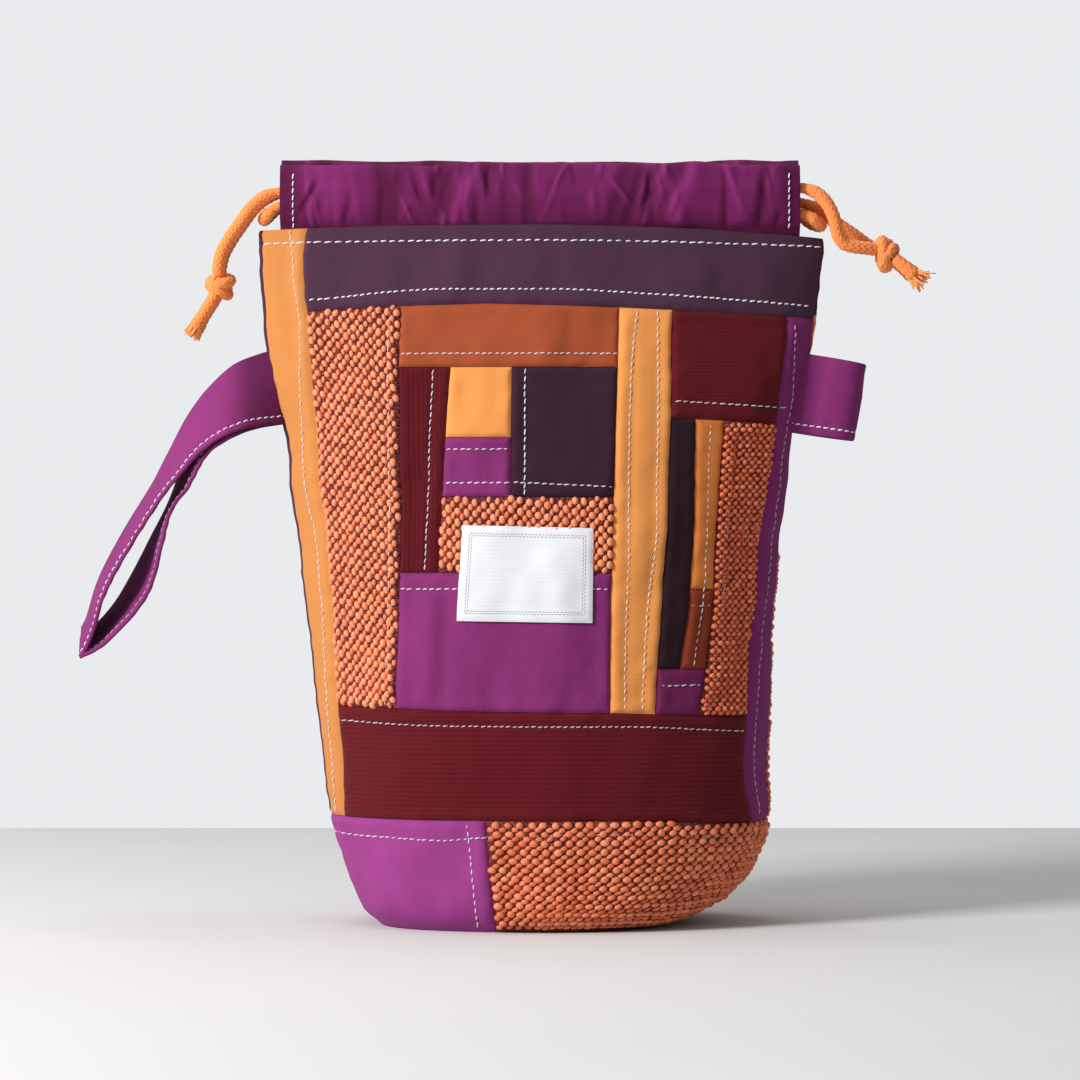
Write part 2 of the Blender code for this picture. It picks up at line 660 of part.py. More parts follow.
def make_ribbon(name, centres, halves, thickness, finish):
    """A flat ribbon along centres, half its width along halves, with square ends."""
    centres = np.asarray(centres, float)
    halves = np.asarray(halves, float)
    along = np.gradient(centres, axis=0)
    along /= np.linalg.norm(along, axis=1, keepdims=True)
    normal = np.cross(along, halves)
    normal *= thickness / 2 / np.linalg.norm(normal, axis=1, keepdims=True)
    near = centres + halves
    far = centres - halves
    corners = [near + normal, near - normal, far - normal, far + normal]
    vertices = np.stack(corners, axis=1).reshape(-1, 3)
    faces = []
    for k in range(len(centres) - 1):
        for c in range(4):
            n = (c + 1) % 4
            faces.append((4 * k + c, 4 * k + n, 4 * k + 4 + n, 4 * k + 4 + c))
    end = 4 * (len(centres) - 1)
    faces.append((0, 1, 2, 3))
    faces.append((end, end + 1, end + 2, end + 3))
    return add_object(name, vertices, faces, finish)


# Wrist strap away from its seam: centre x and z, then how far its near edge lies
# from the centre across and up
STRAP_OUT = [
    (-109.8, 196.3, 3.2, -12.2), (-120.2, 190.3, 3.2, -9.8), (-128.5, 182.3, 3.3, -7.4),
    (-136.5, 170.4, 3.4, -4.1), (-142.2, 160.2, 2.8, -1.7), (-153.8, 141.8, 2.2, -1.3),
    (-163.8, 123.6, 1.6, -1.2), (-168.9, 107.8, 1.3, -4.6),
]
STRAP_TIP = (-171.2, 103.9, 1.2, -5.2)
STRAP_RETURN = [
    (-167.4, 104.6, 1.6, -4.2), (-158.3, 111.2, 2.1, -2.4), (-146.7, 125.5, 1.9, -1.0),
    (-140.0, 140.7, 1.8, -0.6), (-136.0, 154.1, 1.9, -1.0), (-131.8, 165.0, 2.6, -3.0),
]
STRAP_SHARED = 3


def strap_half(across, up):
    """Half width vector of the strap: the near edge lies low, the far edge high."""
    half = STRAP_WIDTH / 2
    near = math.sqrt(max(half**2 - across**2 - up**2, 0))
    vector = np.array([across, -near, up])
    return vector * half / np.linalg.norm(vector)


def make_strap(finishes):
    """The wrist strap: one ribbon out from the seam, folded at its end and back."""
    spacing = STRAP_THICKNESS + STRAP_PLY_GAP
    high, low = STRAP_SEAM
    high_x = -section(high)[0] - ROOT_GAP
    low_x = -section(low)[0] - ROOT_GAP
    root = np.array([(high_x + low_x) / 2, 0, (high + low) / 2])
    root_half = np.array([(low_x - high_x) / 2, 0, (low - high) / 2])
    out = [np.array([x, 0, z]) for x, z, _, _ in STRAP_OUT]
    out_half = [strap_half(a, u) for _, _, a, u in STRAP_OUT]
    heading = np.gradient(np.array([root] + out), axis=0)
    normals = np.cross(heading, np.array([root_half] + out_half))
    normals /= np.linalg.norm(normals, axis=1, keepdims=True)
    normals *= np.sign(normals[:, 1:2])
    first = [root - normals[0] * spacing / 2] + out
    first_half = [root_half] + out_half
    back = [np.array([x, 0, z]) for x, z, _, _ in STRAP_RETURN]
    back_half = [strap_half(a, u) for _, _, a, u in STRAP_RETURN]
    shared = [first[k] + normals[k] * spacing for k in range(STRAP_SHARED, -1, -1)]
    shared_half = [first_half[k] for k in range(STRAP_SHARED, -1, -1)]
    tip = [np.array([STRAP_TIP[0], 0, STRAP_TIP[1]])]
    tip_half = [strap_half(STRAP_TIP[2], STRAP_TIP[3])]
    centres = np.array(first + tip + back + shared)
    halves = np.array(first_half + tip_half + back_half + shared_half)
    along = np.concatenate([[0], np.cumsum(np.linalg.norm(np.diff(centres, axis=0), axis=1))])
    tip_at = along[len(first)]
    before = np.linspace(0, tip_at - STRAP_TIP_ROOM, STRAP_OUT_STEPS)
    after = np.linspace(tip_at + STRAP_TIP_ROOM, along[-1], STRAP_RETURN_STEPS)
    fine = np.concatenate([before, [tip_at], after])
    centres = np.stack([smooth(along, centres[:, k], fine) for k in range(3)], axis=-1)
    halves = np.stack([smooth(along, halves[:, k], fine) for k in range(3)], axis=-1)
    make_ribbon("wrist_strap", centres, halves, STRAP_THICKNESS, finishes["purple"])


def make_tab(finishes):
    """The side tab: a short ribbon folded in half, its fold held open by its stiffness."""
    near = (TAB_THICKNESS + TAB_PLY_GAP) / 2
    reach = TAB_LENGTH - TAB_THICKNESS / 2
    out_at = [reach * share for share, _ in TAB_OUTLINE]
    apart = [max(near, TAB_SWELL * share) for _, share in TAB_OUTLINE]
    apart[-1] = 0
    plan = [(s, -w) for s, w in zip(out_at, apart)]
    plan += [(s, w) for s, w in zip(out_at[-2::-1], apart[-2::-1])]
    high = TAB_HEIGHT + TAB_WIDTH / 2
    low = TAB_HEIGHT - TAB_WIDTH / 2
    high_x = section(high)[1] + ROOT_GAP
    low_x = section(low)[1] + ROOT_GAP
    root = np.array([(high_x + low_x) / 2, 0, TAB_HEIGHT])
    half = np.array([(low_x - high_x) / 2, 0, (low - high) / 2])
    droop = math.radians(TAB_DROOP)
    out = np.array([math.cos(droop), 0, -math.sin(droop)])
    centres = [root + out * s + np.array([0, y, 0]) for s, y in plan]
    upright = np.array([-math.sin(droop), 0, -math.cos(droop)]) * TAB_WIDTH / 2
    halves = [half + (upright - half) * ease(np.array(s / reach)) for s, _ in plan]
    make_ribbon("side_tab", centres, halves, TAB_THICKNESS, finishes["purple"])


def main():
    clear_scene()
    finishes = {
        "purple": material("purple_cotton", PURPLE),
        "mustard": material("mustard_twill", MUSTARD),
        "aubergine": material("aubergine_twill", AUBERGINE),
        "rust": material("rust_cotton", RUST),
        "burgundy": material("burgundy_corduroy", BURGUNDY),
        "tweed": material("orange_tweed", TWEED),
        "orange": material("orange_cord", ORANGE),
        "lining": material("lining_cotton", PURPLE),
        "label": material("label_satin", WHITE, 0.5),
    }
    make_lining(finishes)
    make_front(finishes)
    make_back(finishes)
    make_base(finishes)
    make_casing("front_casing", -1, 0.0, finishes["purple"])
    make_casing("back_casing", 1, BACK_CASING_RISE, finishes["purple"])
    make_cords(finishes)
    make_strap(finishes)
    make_tab(finishes)


main()
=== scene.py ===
# %% [markdown]
# # A patchwork drawstring pouch
#
# The pouch is a kinchaku: a soft bag with a round bottom that closes flat when its two
# orange cords are pulled. Every patch is a separate piece of cotton, twill, corduroy or
# tweed, sewn edge to edge and topstitched in white. Sizes are in millimetres until a
# mesh is made.

# %% start
import math
import bpy
import numpy as np
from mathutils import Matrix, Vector


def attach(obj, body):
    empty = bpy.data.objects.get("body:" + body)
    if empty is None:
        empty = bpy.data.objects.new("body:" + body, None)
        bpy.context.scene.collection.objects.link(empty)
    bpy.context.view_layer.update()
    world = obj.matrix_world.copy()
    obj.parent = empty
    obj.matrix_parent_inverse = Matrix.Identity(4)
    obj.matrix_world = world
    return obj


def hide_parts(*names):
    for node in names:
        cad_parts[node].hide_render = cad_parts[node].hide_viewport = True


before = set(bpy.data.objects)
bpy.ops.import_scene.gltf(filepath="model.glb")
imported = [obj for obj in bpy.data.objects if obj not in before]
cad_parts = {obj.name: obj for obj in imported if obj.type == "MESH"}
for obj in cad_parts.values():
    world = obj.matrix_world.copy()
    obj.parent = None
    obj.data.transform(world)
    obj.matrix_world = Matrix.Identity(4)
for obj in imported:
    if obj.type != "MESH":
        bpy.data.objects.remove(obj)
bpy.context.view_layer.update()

MM = 0.001
print("the frame holds", len(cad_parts), "plain solids")


# %% [markdown]
# ## Curves and soft noise
#
# All lines of the pouch are read from a few measured points. The curve through them is a
# cubic that never overshoots, so a seam stays between its points. Folds and unevenness
# come from a sum of slanted waves, which is the same on each run.

# %% curves
def smooth(xs, ys, x):
    """Cubic through the points (xs, ys) that never overshoots them, read at x."""
    xs, ys = np.asarray(xs, float), np.asarray(ys, float)
    step = np.diff(xs)
    rise = np.diff(ys) / step
    slope = np.empty_like(ys)
    slope[0], slope[-1] = rise[0], rise[-1]
    product = rise[:-1] * rise[1:]
    slope[1:-1] = np.where(product > 0, 2 * product / (rise[:-1] + rise[1:] + 1e-12), 0)
    x = np.clip(x, xs[0], xs[-1])
    k = np.clip(np.searchsorted(xs, x) - 1, 0, len(step) - 1)
    u = (x - xs[k]) / step[k]
    start = (2 * u**3 - 3 * u**2 + 1) * ys[k] + (u**3 - 2 * u**2 + u) * step[k] * slope[k]
    end = (3 * u**2 - 2 * u**3) * ys[k + 1] + (u**3 - u**2) * step[k] * slope[k + 1]
    return start + end


def ease(value):
    """0 below 0, 1 above 1, and a smooth step between."""
    value = np.clip(value, 0, 1)
    return value * value * (3 - 2 * value)


def bell(distance, width):
    """1 at distance 0, falling smoothly to 0 over about twice the width."""
    return np.exp(-((distance / width) ** 2))


def waves(x, z, length, seed):
    """Soft unevenness between about -1 and 1: slanted waves about as long as length."""
    dice = np.random.default_rng(seed)
    total = 0 * (x + z)
    count = 7
    for _ in range(count):
        angle = dice.uniform(0, 2 * math.pi)
        size = length * dice.uniform(0.7, 1.5)
        phase = dice.uniform(0, 2 * math.pi)
        reach = x * math.cos(angle) + z * math.sin(angle)
        total = total + np.sin(2 * math.pi * reach / size + phase)
    return total / math.sqrt(2 * count)


def at_points(line, x):
    """Read a line of (place, value) points at x."""
    return smooth([p[0] for p in line], [p[1] for p in line], x)


def across_at(line, height):
    """Read an upright line of (across, height) points at a height."""
    return smooth([p[1] for p in line], [p[0] for p in line], height)


def travelled(path):
    """Distance travelled along a path at each of its points."""
    return np.concatenate([[0], np.cumsum(np.linalg.norm(np.diff(path, axis=0), axis=1))])


def unit(vectors):
    """The same directions, each 1 long."""
    return vectors / np.linalg.norm(vectors, axis=-1, keepdims=True)


def read_path(path, place, read=smooth):
    """Points of a path at places along it."""
    along = travelled(path)
    return np.stack([read(along, path[:, k], place) for k in range(3)], axis=-1)


def straight(xs, ys, x):
    """Straight lines through the points (xs, ys), read at x."""
    return np.interp(x, xs, ys)


print("a wave sample:", round(float(waves(3.0, 4.0, 30, 1)), 3))


# %% [markdown]
# ## From a grid of points to a piece
#
# Each piece is one or more grids of points. A thin cloth is two grids, its outside and
# its inside, joined round the border so that the surface is closed. The map called
# "cloth" holds millimetres measured on the cloth itself, so a weave keeps its real size.

# %% grids
def quads(rows, columns, ring=False, first=0):
    """The faces of a grid of points that is numbered row by row."""
    r = np.arange(rows - 1)[:, None]
    c = np.arange(columns if ring else columns - 1)[None, :]
    n = (c + 1) % columns
    faces = [r * columns + c, r * columns + n, (r + 1) * columns + n, (r + 1) * columns + c]
    return np.stack(np.broadcast_arrays(*faces), axis=-1).reshape(-1, 4) + first


def border(rows, columns, ring=False, floor=False):
    """The faces that join the edges of a grid to the edges of its second grid."""
    grid = np.arange(rows * columns).reshape(rows, columns)
    if ring:
        top = np.append(grid[-1], grid[-1, 0])[::-1]
        low = np.append(grid[0], grid[0, 0])
        runs = [top] if floor else [top, low]
    else:
        runs = [np.concatenate([grid[0], grid[1:, -1], grid[-1, -2::-1], grid[-2::-1, 0]])]
    other = rows * columns
    faces = [np.stack([r[1:], r[:-1], r[:-1] + other, r[1:] + other], axis=-1) for r in runs]
    return np.concatenate(faces)


def cloth_map(grid):
    """Millimetres along the rows and up the columns of a grid of points."""
    along = np.linalg.norm(np.diff(grid, axis=1), axis=-1)
    up = np.linalg.norm(np.diff(grid, axis=0), axis=-1)
    u = np.concatenate([np.zeros((grid.shape[0], 1)), np.cumsum(along, axis=1)], axis=1)
    v = np.concatenate([np.zeros((1, grid.shape[1])), np.cumsum(up, axis=0)], axis=0)
    return np.stack([u - u[:, grid.shape[1] // 2][:, None], v], axis=-1).reshape(-1, 2)


def build(name, points, faces, finishes, uv, second=None, polygons=(), values=None):
    """A piece from points in millimetres, its faces and its finishes.

    second gives the number of the first face that takes the second finish, polygons the
    faces with more than four corners and values the numbers stored on the points.
    """
    mesh = bpy.data.meshes.new(name)
    listed = np.asarray(faces).tolist() + [list(p) for p in polygons]
    mesh.from_pydata((np.asarray(points).reshape(-1, 3) * MM).tolist(), [], listed)
    mesh.polygons.foreach_set("use_smooth", np.ones(len(mesh.polygons), bool))
    layer = mesh.uv_layers.new(name="cloth")
    corner = np.empty(len(mesh.loops), int)
    mesh.loops.foreach_get("vertex_index", corner)
    layer.data.foreach_set("uv", np.asarray(uv)[corner].ravel())
    for key, value in (values or {}).items():
        mesh.attributes.new(key, "FLOAT", "POINT").data.foreach_set("value", np.ravel(value))
    for finish in finishes:
        mesh.materials.append(finish)
    if second is not None:
        number = np.zeros(len(mesh.polygons), int)
        number[second:] = 1
        mesh.polygons.foreach_set("material_index", number)
    mesh.update()
    piece = bpy.data.objects.new(name, mesh)
    bpy.context.collection.objects.link(piece)
    return piece


def stands_for(piece, node):
    """The piece takes the place of its plain solid, which is hidden."""
    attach(piece, "root")
    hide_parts(node)


def twice(values):
    """The values of an outside grid, repeated for its inside grid."""
    return np.concatenate([values, values])


def sheet(outer, inner, ring=False, floor=False):
    """Points, faces and map of a closed sheet between an outside and an inside grid."""
    rows, columns = outer.shape[:2]
    back = quads(rows, columns, ring, rows * columns)[:, ::-1]
    faces = np.concatenate([quads(rows, columns, ring), back, border(rows, columns, ring, floor)])
    points = np.concatenate([outer.reshape(-1, 3), inner.reshape(-1, 3)])
    return points, faces, twice(cloth_map(outer))


print("a 3 by 4 grid has", len(quads(3, 4)), "faces and a border of", len(border(3, 4)))


# %% [markdown]
# ## Finishes
#
# The colours are fields of dyed cotton. Each weave is worked out from the millimetres of
# the cloth map: a twill is a slanted wave 0.7 to 0.9 mm apart, a plain cotton is two
# crossed waves with slubs, and yarn is fine noise. The same height drives a small change
# of colour and the bump, because light reaches the tops of the threads first.

# %% finishes
class Finish:
    """A cloth finish that is put together from a few words."""

    def __init__(self, name, roughness, sheen, gloss=0.14):
        self.material = bpy.data.materials.new(name)
        self.material.use_nodes = True
        self.tree = self.material.node_tree
        self.shader = self.tree.nodes["Principled BSDF"]
        looks = {"Roughness": roughness, "Sheen Weight": sheen, "Sheen Roughness": 0.5,
                 "Specular IOR Level": gloss}
        for word, value in looks.items():
            self.shader.inputs[word].default_value = value
        place = self.tree.nodes.new("ShaderNodeUVMap")
        place.uv_map = "cloth"
        self.place = place.outputs["UV"]
        split = self.tree.nodes.new("ShaderNodeSeparateXYZ")
        self.tree.links.new(self.place, split.inputs[0])
        self.u = split.outputs["X"]
        self.v = split.outputs["Y"]

    def put(self, socket, value):
        """Set a socket to a value, or link it to another node's output."""
        if isinstance(value, bpy.types.NodeSocket):
            self.tree.links.new(value, socket)
        else:
            socket.default_value = value

    def sum(self, operation, first, other=0.0, third=0.0):
        """One arithmetic step."""
        node = self.tree.nodes.new("ShaderNodeMath")
        node.operation = operation
        for socket, value in zip(node.inputs, (first, other, third)):
            self.put(socket, value)
        return node.outputs[0]

    def wave(self, across, up, pitch):
        """0 to 1 wave over the cloth, its crests pitch millimetres apart."""
        sideways = self.sum("MULTIPLY", self.u, across)
        reach = self.sum("ADD", sideways, self.sum("MULTIPLY", self.v, up))
        sine = self.sum("SINE", self.sum("MULTIPLY", reach, 2 * math.pi / pitch))
        return self.sum("MULTIPLY_ADD", sine, 0.5, 0.5)

    def noise(self, scale_u, scale_v, detail=2.0):
        """Noise with its own number of grains per millimetre across and up."""
        stretch = self.tree.nodes.new("ShaderNodeVectorMath")
        stretch.operation = "MULTIPLY"
        self.tree.links.new(self.place, stretch.inputs[0])
        stretch.inputs[1].default_value = (scale_u, scale_v, 1.0)
        grain = self.tree.nodes.new("ShaderNodeTexNoise")
        grain.inputs["Scale"].default_value = 1.0
        grain.inputs["Detail"].default_value = detail
        self.tree.links.new(stretch.outputs[0], grain.inputs["Vector"])
        return grain.outputs["Fac"]

    def value(self, name):
        """A number stored on the piece."""
        node = self.tree.nodes.new("ShaderNodeAttribute")
        node.attribute_name = name
        return node.outputs["Fac"]

    def mix(self, factor, first, other):
        """A colour between two colours."""
        node = self.tree.nodes.new("ShaderNodeMix")
        node.data_type = "RGBA"
        self.put(node.inputs[0], factor)
        for socket, value in ((node.inputs[6], first), (node.inputs[7], other)):
            self.put(socket, value if isinstance(value, bpy.types.NodeSocket) else (*value, 1.0))
        return node.outputs[2]

    def finish(self, colour, height, depth):
        """Close the finish: its colour, and its relief depth in millimetres."""
        self.put(self.shader.inputs["Base Color"], colour)
        bump = self.tree.nodes.new("ShaderNodeBump")
        bump.inputs["Strength"].default_value = 1.0
        bump.inputs["Distance"].default_value = depth * MM
        self.tree.links.new(height, bump.inputs["Height"])
        self.tree.links.new(bump.outputs["Normal"], self.shader.inputs["Normal"])
        return self.material


def shade(colour, amount):
    """The colour made lighter (above 1) or darker (below 1)."""
    return tuple(min(1.0, part * amount) for part in colour)


def cotton(name, colour, painted_shade_colour=None):
    """Plain cotton: crossed threads 0.42 mm apart with slubs.

    The last colour given is painted shade: the cloth takes it where the number stored as fold is
    low.
    """
    f = Finish(name, 0.85, 0.03)
    threads = f.sum("MULTIPLY", f.wave(1, 0, 0.42), f.wave(0, 1, 0.42))
    slubs = f.sum("ADD", f.noise(1.9, 0.3), f.noise(0.3, 1.9))
    fade = f.noise(0.07, 0.04)
    height = f.sum("ADD", f.sum("MULTIPLY", threads, 0.5), f.sum("MULTIPLY", slubs, 0.5))
    mixed = f.mix(f.sum("MULTIPLY_ADD", slubs, 1.1, -0.6), shade(colour, 0.90), shade(colour, 1.12))
    mixed = f.mix(f.sum("MULTIPLY_ADD", fade, 2.0, -0.6), mixed, shade(colour, 0.84))
    if painted_shade_colour is not None:
        # Painted shade: towards the shade colour where the stored fold number is low.
        mixed = f.mix(f.value("fold"), painted_shade_colour, mixed)
    return f.finish(mixed, height, 0.10)


def twill(name, colour, pitch=0.75, strength=1.0):
    """Twill: fine ribs that rise at 33 degrees."""
    f = Finish(name, 0.8, 0.04)
    slant = math.radians(33)
    ribs = f.wave(math.cos(slant), math.sin(slant), pitch)
    height = f.sum("ADD", ribs, f.sum("MULTIPLY", f.noise(2.2, 2.2), 0.25))
    mixed = f.mix(ribs, shade(colour, 1 - 0.16 * strength), shade(colour, 1 + 0.1 * strength))
    mixed = f.mix(f.sum("MULTIPLY", f.noise(0.06, 0.04), 0.3), mixed, shade(colour, 0.9))
    return f.finish(mixed, height, 0.09 * strength)


def corduroy(name, colour):
    """Cut pile: fine fibres on the wales, darker between them as painted shade."""
    f = Finish(name, 0.95, 0.05)
    pile = f.noise(4.0, 4.0, 3.0)
    mixed = f.mix(pile, shade(colour, 0.75), shade(colour, 1.35))
    mixed = f.mix(f.value("wale"), shade(colour, 0.68), mixed)
    return f.finish(mixed, pile, 0.2)


def yarn(name, colour, pale, sheen, scale, dark, gloss=0.25):
    """Soft yarn: fibres along it, paler and redder from bead to bead. The stored tint also carries
    painted light and shade.
    """
    f = Finish(name, 0.9 - gloss / 2, sheen, gloss)
    fibres = f.noise(scale, scale * 0.6, 3.0)
    mixed = f.mix(f.value("tint"), colour, pale)
    mixed = f.mix(f.sum("MULTIPLY", fibres, dark), mixed, shade(colour, 0.7))
    return f.finish(mixed, fibres, 0.15)


def under_threads(name, ground, glimpse):
    """Dark ground of the tweed, with glimpses of the bright yarn that runs through it."""
    f = Finish(name, 0.9, 0.0)
    yarns = f.noise(0.9, 1.1, 3.0)
    mixed = f.mix(f.sum("MULTIPLY_ADD", yarns, 5.0, -2.3), ground, glimpse)
    return f.finish(mixed, yarns, 0.5)


def label_satin(name):
    """White satin with fine level ribs and a double dashed grey border."""
    f = Finish(name, 0.45, 0.1)
    ribs = f.wave(0, 1, 0.5)
    white = f.mix(ribs, (0.73, 0.74, 0.77), (0.81, 0.82, 0.84))
    edge = f.value("edge")
    dash = f.sum("LESS_THAN", f.wave(1, 1, 1.3), 0.62)
    line = 0.0
    for inset in (2.9, 3.7):
        near = f.sum("LESS_THAN", f.sum("ABSOLUTE", f.sum("SUBTRACT", edge, inset)), 0.17)
        line = f.sum("MAXIMUM", line, near)
    return f.finish(f.mix(f.sum("MULTIPLY", line, dash), white, (0.30, 0.31, 0.36)), ribs, 0.06)


PURPLE = (0.225, 0.026, 0.148)
CORAL = (0.68, 0.122, 0.034)
FINISHES = {}
# Darker copies of mustard twill, aubergine twill, rust and purple cotton paint shade on the left
# side strip and on the patches of the right side.
for weave, cloth, *colours in (
    (cotton, "purple_cotton", PURPLE),
    # The strap and collar cotton each take a second, darker colour as painted shade.
    (cotton, "strap_cotton", PURPLE, (0.110, 0.0115, 0.066)),
    (cotton, "collar_cotton", (0.225, 0.020, 0.140), (0.092, 0.0055, 0.045)),
    (cotton, "base_cotton", (0.315, 0.046, 0.232)),
    (cotton, "wine_cotton", (0.160, 0.016, 0.085)),
    (cotton, "lining_cotton", shade(PURPLE, 0.6)),
    (twill, "mustard_twill", (0.82, 0.308, 0.078)),
    (twill, "side_twill", (0.60, 0.228, 0.062)),
    (twill, "golden_twill", (0.62, 0.185, 0.040)),
    (twill, "aubergine_twill", (0.072, 0.0255, 0.054), 0.88, 1.5),
    (twill, "deep_aubergine", (0.038, 0.0100, 0.0245), 0.7, 1.4),
    (twill, "darkest_aubergine", (0.022, 0.0062, 0.0115), 0.7, 1.4),
    (twill, "rust_cotton", (0.350, 0.070, 0.024), 0.7, 0.7),
    (twill, "deep_rust", (0.235, 0.036, 0.013), 0.7, 0.7),
    (corduroy, "burgundy_corduroy", (0.118, 0.0068, 0.0115)),
    (corduroy, "deep_corduroy", (0.098, 0.0050, 0.0088)),
    (under_threads, "tweed_ground", (0.060, 0.015, 0.032), shade(CORAL, 0.6)),
    (yarn, "tweed_yarn", CORAL, (0.98, 0.34, 0.155), 0.05, 3.0, 0.4, 0.5),
    (yarn, "cord_yarn", (1.0, 0.215, 0.038), (1.0, 0.42, 0.135), 0.25, 3.0, 0.2),
    # The thread's darker colour paints shade on the greyer stitch lines.
    (yarn, "white_thread", (0.30, 0.22, 0.28), (0.92, 0.93, 0.97), 0.05, 5.0, 0.35),
    (label_satin, "label_satin"),
):
    FINISHES[cloth] = weave(cloth + "_finish", *colours)
print("finishes made:", len(FINISHES))


# %% [markdown]
# ## Camera, light and floor
#
# The photograph was taken with a long lens, level, about 1.3 m in front of the pouch. The
# lens follows from the pouch's width in the picture. One large soft light stands on the
# left, a weaker one above, and pale surroundings fill the rest. The table's far edge
# stands where the picture shows it, in front of a pale wall that only the camera sees.

# %% camera
camera_data = bpy.data.cameras.new("camera")
camera_data.lens = 115.7
camera_data.sensor_width = 36.0
camera_data.clip_end = 20.0
camera = bpy.data.objects.new("camera", camera_data)
camera.location = (0.0, -1.295, 0.1422)
camera.rotation_euler = (math.radians(90), 0.0, 0.0)
bpy.context.collection.objects.link(camera)
bpy.context.scene.camera = camera


def soft_light(name, place, target, size, power):
    """A square lamp at place that faces target."""
    data = bpy.data.lights.new(name, "AREA")
    data.shape = "SQUARE"
    data.size = size
    data.energy = power
    lamp = bpy.data.objects.new(name, data)
    lamp.location = place
    toward = Vector(target) - Vector(place)
    lamp.rotation_euler = toward.to_track_quat("-Z", "Y").to_euler()
    bpy.context.collection.objects.link(lamp)


soft_light("key_light", (-1.15, -0.78, 0.80), (0.0, 0.0, 0.13), 0.42, 27.0)
soft_light("top_light", (-0.2, 0.1, 1.3), (0.0, 0.0, 0.1), 0.7, 5.0)

TABLE_HALF = 2500.0
TABLE_FAR_EDGE = 419.0
table_x = np.linspace(-TABLE_HALF, TABLE_HALF, 6)
table_y = np.linspace(TABLE_FAR_EDGE, -TABLE_HALF, 6)
table = np.stack(np.broadcast_arrays(table_x[None, :], table_y[:, None], 0.0), axis=-1)
paper = Finish("pale_table_finish", 0.9, 0.0)
paper_grain = paper.noise(0.01, 0.01)
paper_colour = paper.mix(paper_grain, (0.70, 0.69, 0.68), (0.73, 0.72, 0.71))
paper_finish = paper.finish(paper_colour, paper_grain, 0.01)
build("pale_table", table, quads(6, 6)[:, ::-1], [paper_finish], cloth_map(table))

world = bpy.data.worlds.new("studio")
world.use_nodes = True
bpy.context.scene.world = world
nodes, links = world.node_tree.nodes, world.node_tree.links
sky = nodes["Background"]
sky.inputs["Color"].default_value = (0.95, 0.97, 1.0, 1.0)
sky.inputs["Strength"].default_value = 0.30
wall = nodes.new("ShaderNodeBackground")
wall.inputs["Color"].default_value = (0.82, 0.83, 0.85, 1.0)
choose = nodes.new("ShaderNodeMixShader")
links.new(nodes.new("ShaderNodeLightPath").outputs["Is Camera Ray"], choose.inputs[0])
links.new(sky.outputs[0], choose.inputs[1])
links.new(wall.outputs[0], choose.inputs[2])
links.new(choose.outputs[0], nodes["World Output"].inputs[0])
bpy.context.scene.view_settings.view_transform = "Standard"
print("camera stands", round(-camera.location.y, 3), "m in front")


# %% [markdown]
# ## The two cords
#
# Each cord is a soft knitted cord about 5 mm thick. It comes out of its knot, runs through
# the front casing, turns at the far side, comes back through the back casing and ends in
# the same knot, so that pulling both knots closes the mouth. The routes are the same as
# those of the plain solids.

# %% cord routes
CASING_HALF_WIDTH = 96.6
CASING_STATIONS = (-89, -80, -60, -36, -24, -18, -12, -6, 0, 6, 12, 18, 24, 36, 60, 80, 89)
CASING_END_DEPTH = 3.6
CASING_MIDDLE_DEPTH = 9.0
CORD_DIAMETER = 5.2
CORD_IN_CASING = 4.0
CORD_CROSSING = 4.3
CROSSING_HALF = 12.0
KNOT_GAP = -1.2
KNOT_LEAD = 1.5

LEFT_KNOT = ((-119.0, 0.0, 237.0), (5.8, 5.6, 5.8))
RIGHT_KNOT = ((128.7, 0.0, 249.0), (5.2, 5.6, 6.8))
LEFT_CORD_FRONT = [
    (-119.8, -3.5, 243.2), (-118.9, -4.1, 247.5), (-116.1, -4.1, 253.4),
    (-111.6, -4.0, 260.1), (-106.8, -3.9, 266.4), (-102.0, -3.7, 270.2),
]
LEFT_CORD_TURN = [(101.0, -3.5, 262.0), (104.6, 0.0, 259.4), (101.0, 3.5, 260.8)]
LEFT_CORD_BACK = [(x, -y, z) for x, y, z in LEFT_CORD_FRONT[::-1]]
RIGHT_CORD_FRONT = [
    (122.2, -3.6, 251.0), (116.8, -4.8, 251.2), (112.9, -5.4, 252.4),
    (110.6, -5.8, 255.9), (109.4, -5.8, 261.2), (106.6, -5.0, 267.4), (101.9, -4.0, 271.8),
]
RIGHT_CORD_TURN = [(-100.3, -3.4, 264.2), (-103.0, 0.0, 261.6), (-100.3, 3.4, 264.2)]
RIGHT_CORD_BACK = [
    (101.9, 3.8, 266.8), (106.8, 4.4, 263.8), (111.6, 4.6, 260.4), (116.6, 4.4, 257.0),
    (122.4, 3.6, 252.4),
]
LEFT_IN_FRONT = [(-97, 271.6), (-20, 271.0), (20, 265.5), (97, 263.6)]
LEFT_IN_BACK = [(-97, 271.6), (-20, 271.0), (20, 265.5), (60, 264.8), (97, 263.0)]
RIGHT_IN_FRONT = [(-97, 266.2), (-20, 265.6), (20, 271.0), (97, 273.2)]
RIGHT_IN_BACK = [(-97, 266.2), (-20, 265.6), (20, 271.0), (60, 270.2), (97, 268.4)]
LEFT_TAIL = [
    (-121.8, -3.3, 231.9), (-123.7, -3.2, 228.9), (-126.6, -2.9, 224.2),
    (-129.6, -2.9, 218.8),
]
RIGHT_TAIL = [
    (133.8, -3.4, 245.6), (136.6, -3.2, 243.3), (139.6, -2.9, 240.9), (143.6, -2.9, 238.4),
]


def casing_line(across):
    """Depth of a casing's middle from the mouth's middle plane."""
    share = 1 - (across / CASING_HALF_WIDTH) ** 2
    return CASING_END_DEPTH + (CASING_MIDDLE_DEPTH - CASING_END_DEPTH) * share


def crossing(across):
    """1 where the two cords pass each other in the middle of a casing, 0 elsewhere."""
    return 1 - ease((np.abs(across) - CROSSING_HALF) / CROSSING_HALF)


